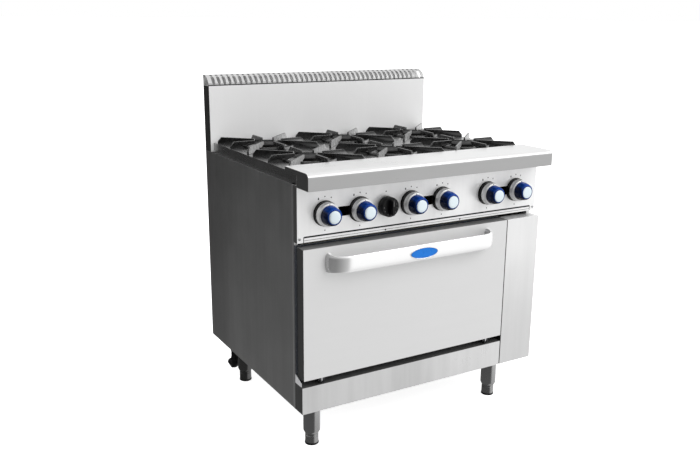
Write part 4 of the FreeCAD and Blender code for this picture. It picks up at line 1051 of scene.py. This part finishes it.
def gas_inlet():
    """Stepped pipe with a collar, a hexagon and the threaded stub."""
    low, high = extent("gas_inlet")
    stub_r, step, bend = 13.22, 42.0, 17.0
    x = (low.x + high.x) / 2
    pipe_y = high.y - stub_r - 4
    end_y = pipe_y - step
    axis_z = low.z + stub_r + 4
    shelf = high.z - 28
    start = Vector((x, pipe_y, high.z))
    path = [start]
    path += arc(Vector((x, pipe_y - bend, shelf + bend)), Y, -Z, bend, 0, 90, 10)
    path += arc(Vector((x, end_y + bend, shelf - bend)), Z, -Y, bend, 0, 90, 10)
    path += arc(Vector((x, end_y + bend, axis_z + bend)), -Y, -Z, bend, 0, 90, 10)
    path += [Vector((x, end_y + 24, axis_z))]
    shape = Shape().tube(path, stub_r + 1.5, 48)
    collar = [(0, 12), (0, 16.6), (1, 17.2), (11, 17.2), (12, 16.6), (12, 12)]
    shape.lathe(start - Z * 12, Z, collar, 48)
    nut = [(0, 12), (0, 16.6), (1, 17.2), (13, 17.2), (14, 16.6), (14, 12)]
    shape.lathe(Vector((x, end_y, axis_z + 24)), Z, nut, 6)
    shape.lathe(Vector((x, end_y + 14, axis_z)), Y,
                [(0, 11), (0, 16.2), (1, 17.2), (8, 17.2), (9, 16.2), (9, 11)], 6)
    pitch, depth = 1.814, 1.1

    def thread(r, t, angle):
        wave = (t / pitch - angle / math.tau) % 1.0
        fade = min(1.0, max(0.0, (20 - t) / 2))
        return r - depth * abs(2 * wave - 1) * fade

    profile = [(k * pitch / 6, stub_r) for k in range(int(20 / (pitch / 6)))]
    profile += [(19.6, stub_r - 1.0), (20, stub_r - 1.6), (20, stub_r - 3), (0, stub_r - 3)]
    shape.lathe(Vector((x, end_y + 24, axis_z)), Y, profile, 64, loop=True,
                radius=lambda r, t, angle: thread(r, t, angle) if r > stub_r - 0.5 else r)
    shape.finish("inlet_elbow", "range", "inlet_black", stands_for=["gas_inlet"])


TRAY_SCREWS_X = (-150.0, 133.0)


def screws():
    """Raised heads on the control panel, the tray front and the back panel."""
    shape = Shape()
    low, high = extent("panel_screws")
    panel_low = extent("crumb_tray")[0]
    z = panel_low.z + 12
    for x in (low.x + 4.5, high.x - 4.5):
        screw_head(shape, Vector((x, PANEL_Y, z)), FRONT, 4.4, 2.0)
    back_low, back_high = extent("back_panel")
    for x in (low.x + 4.5, high.x - 4.5):
        for height in (back_low.z + 63, back_high.z - 60):
            screw_head(shape, Vector((x, back_high.y - 1.6, height)), Y, 4.4, 1.5)
    shape.finish("panel_screw_heads", "range", "screw_steel", stands_for=["panel_screws"])
    tray = Shape()
    for x in TRAY_SCREWS_X:
        screw_head(tray, Vector((x, PANEL_Y, panel_low.z + 5)), FRONT, 2.6, 1.4)
    tray.finish("tray_screw_heads", "crumb_tray", "screw_steel", "print_dark")


def corner_tab():
    """Tab of the chassis beside the lower left corner of the door; its pale tone is a painted highlight."""
    low = extent("side_panel_left")[0]
    base, front = extent("kick_panel")[1].z + 1.0, extent("kick_panel")[0].y
    outline = [Vector((low.x + 0.5, y, z)) for y, z in
               ((front + 8, base), (low.y - 0.5, base), (low.y - 0.5, base + 27), (front + 8, base + 12))]
    Shape().prism(outline, X * 2.0).finish("corner_tab", "range", "casing_steel", "pale_tab_highlight", bevel=0.4)


def tray_front():
    """Folded hem along the tray front, its dark grey a painted shade line, and a black strip at the slit above it
    as painted shadow.
    """
    low, high = extent("crumb_tray")
    # The hem's dark grey is a painted shade line along the hem.
    Shape().slab((low.x + 1, PANEL_Y - 0.3, low.z + 5.6), (high.x - 1, PANEL_Y + 0.3, low.z + 7.0)).finish(
        "tray_hem", "crumb_tray", "casing_steel", "print_light", bevel=0.2)
    # Painted shadow: a black strip on and inside the slit.
    top = low.z + 14.0
    Shape().slab((low.x, PANEL_Y - 0.2, top - 0.4), (high.x, PANEL_Y + 0.8, top + 4.4)).finish(
        "tray_slit_shadow", "range", "casing_steel", "knob_black")


# ---------------------------------------------------------------- CAD nodes that are shown
BEVELS = {
    "door_skin": 1.4, "kick_panel": 1.2, "service_panel": 1.2, "splashback": 0.6, "side_panel_left": 0.7,
    "side_panel_right": 0.7, "back_panel": 0.5, "cooktop": 1.0, "control_panel": 0.5, "crumb_tray": 0.5,
    "oven_sole": 0.8, "chassis_frame": 0.6, "hinge_brackets": 0.6, "hinge_arms": 0.6, "oven_liner": 0.5,
    "base_pan": 0.4, "valve_bodies": 1.0,
}


def dress_nodes():
    for name, node in frame["nodes"].items():
        if node.hide_render:
            continue
        slot = node.data.materials[0].name.split(".")[0]
        look = MATERIALS[NODE_LOOK.get(name, slot)]
        for i in range(len(node.material_slots)):
            node.material_slots[i].material = look
        if name in BEVELS:
            weld = node.modifiers.new("weld", "WELD")
            weld.merge_threshold = 0.01 * MM
            flat = node.modifiers.new("flat", "DECIMATE")
            flat.decimate_type = "DISSOLVE"
            flat.angle_limit = math.radians(1)
            add_bevel(node, BEVELS[name], hard=False)


# ---------------------------------------------------------------- everything
camera()
world()
floor()
softbox("key", (1.7, -2.3, 2.5), (0.0, 0.0, 0.5), 2.4, 1.6, 30)

for number in range(1, 7):
    knob(number)
thermostat()
bezels()
panel_marks()
front_rail()
door_handle()
badge()
grates()
burners()
flue_cap()
door_liner()
door_seal()
legs()
gas_inlet()
screws()
corner_tab()
tray_front()
dress_nodes()

bpy.context.scene.view_settings.view_transform = "Standard"
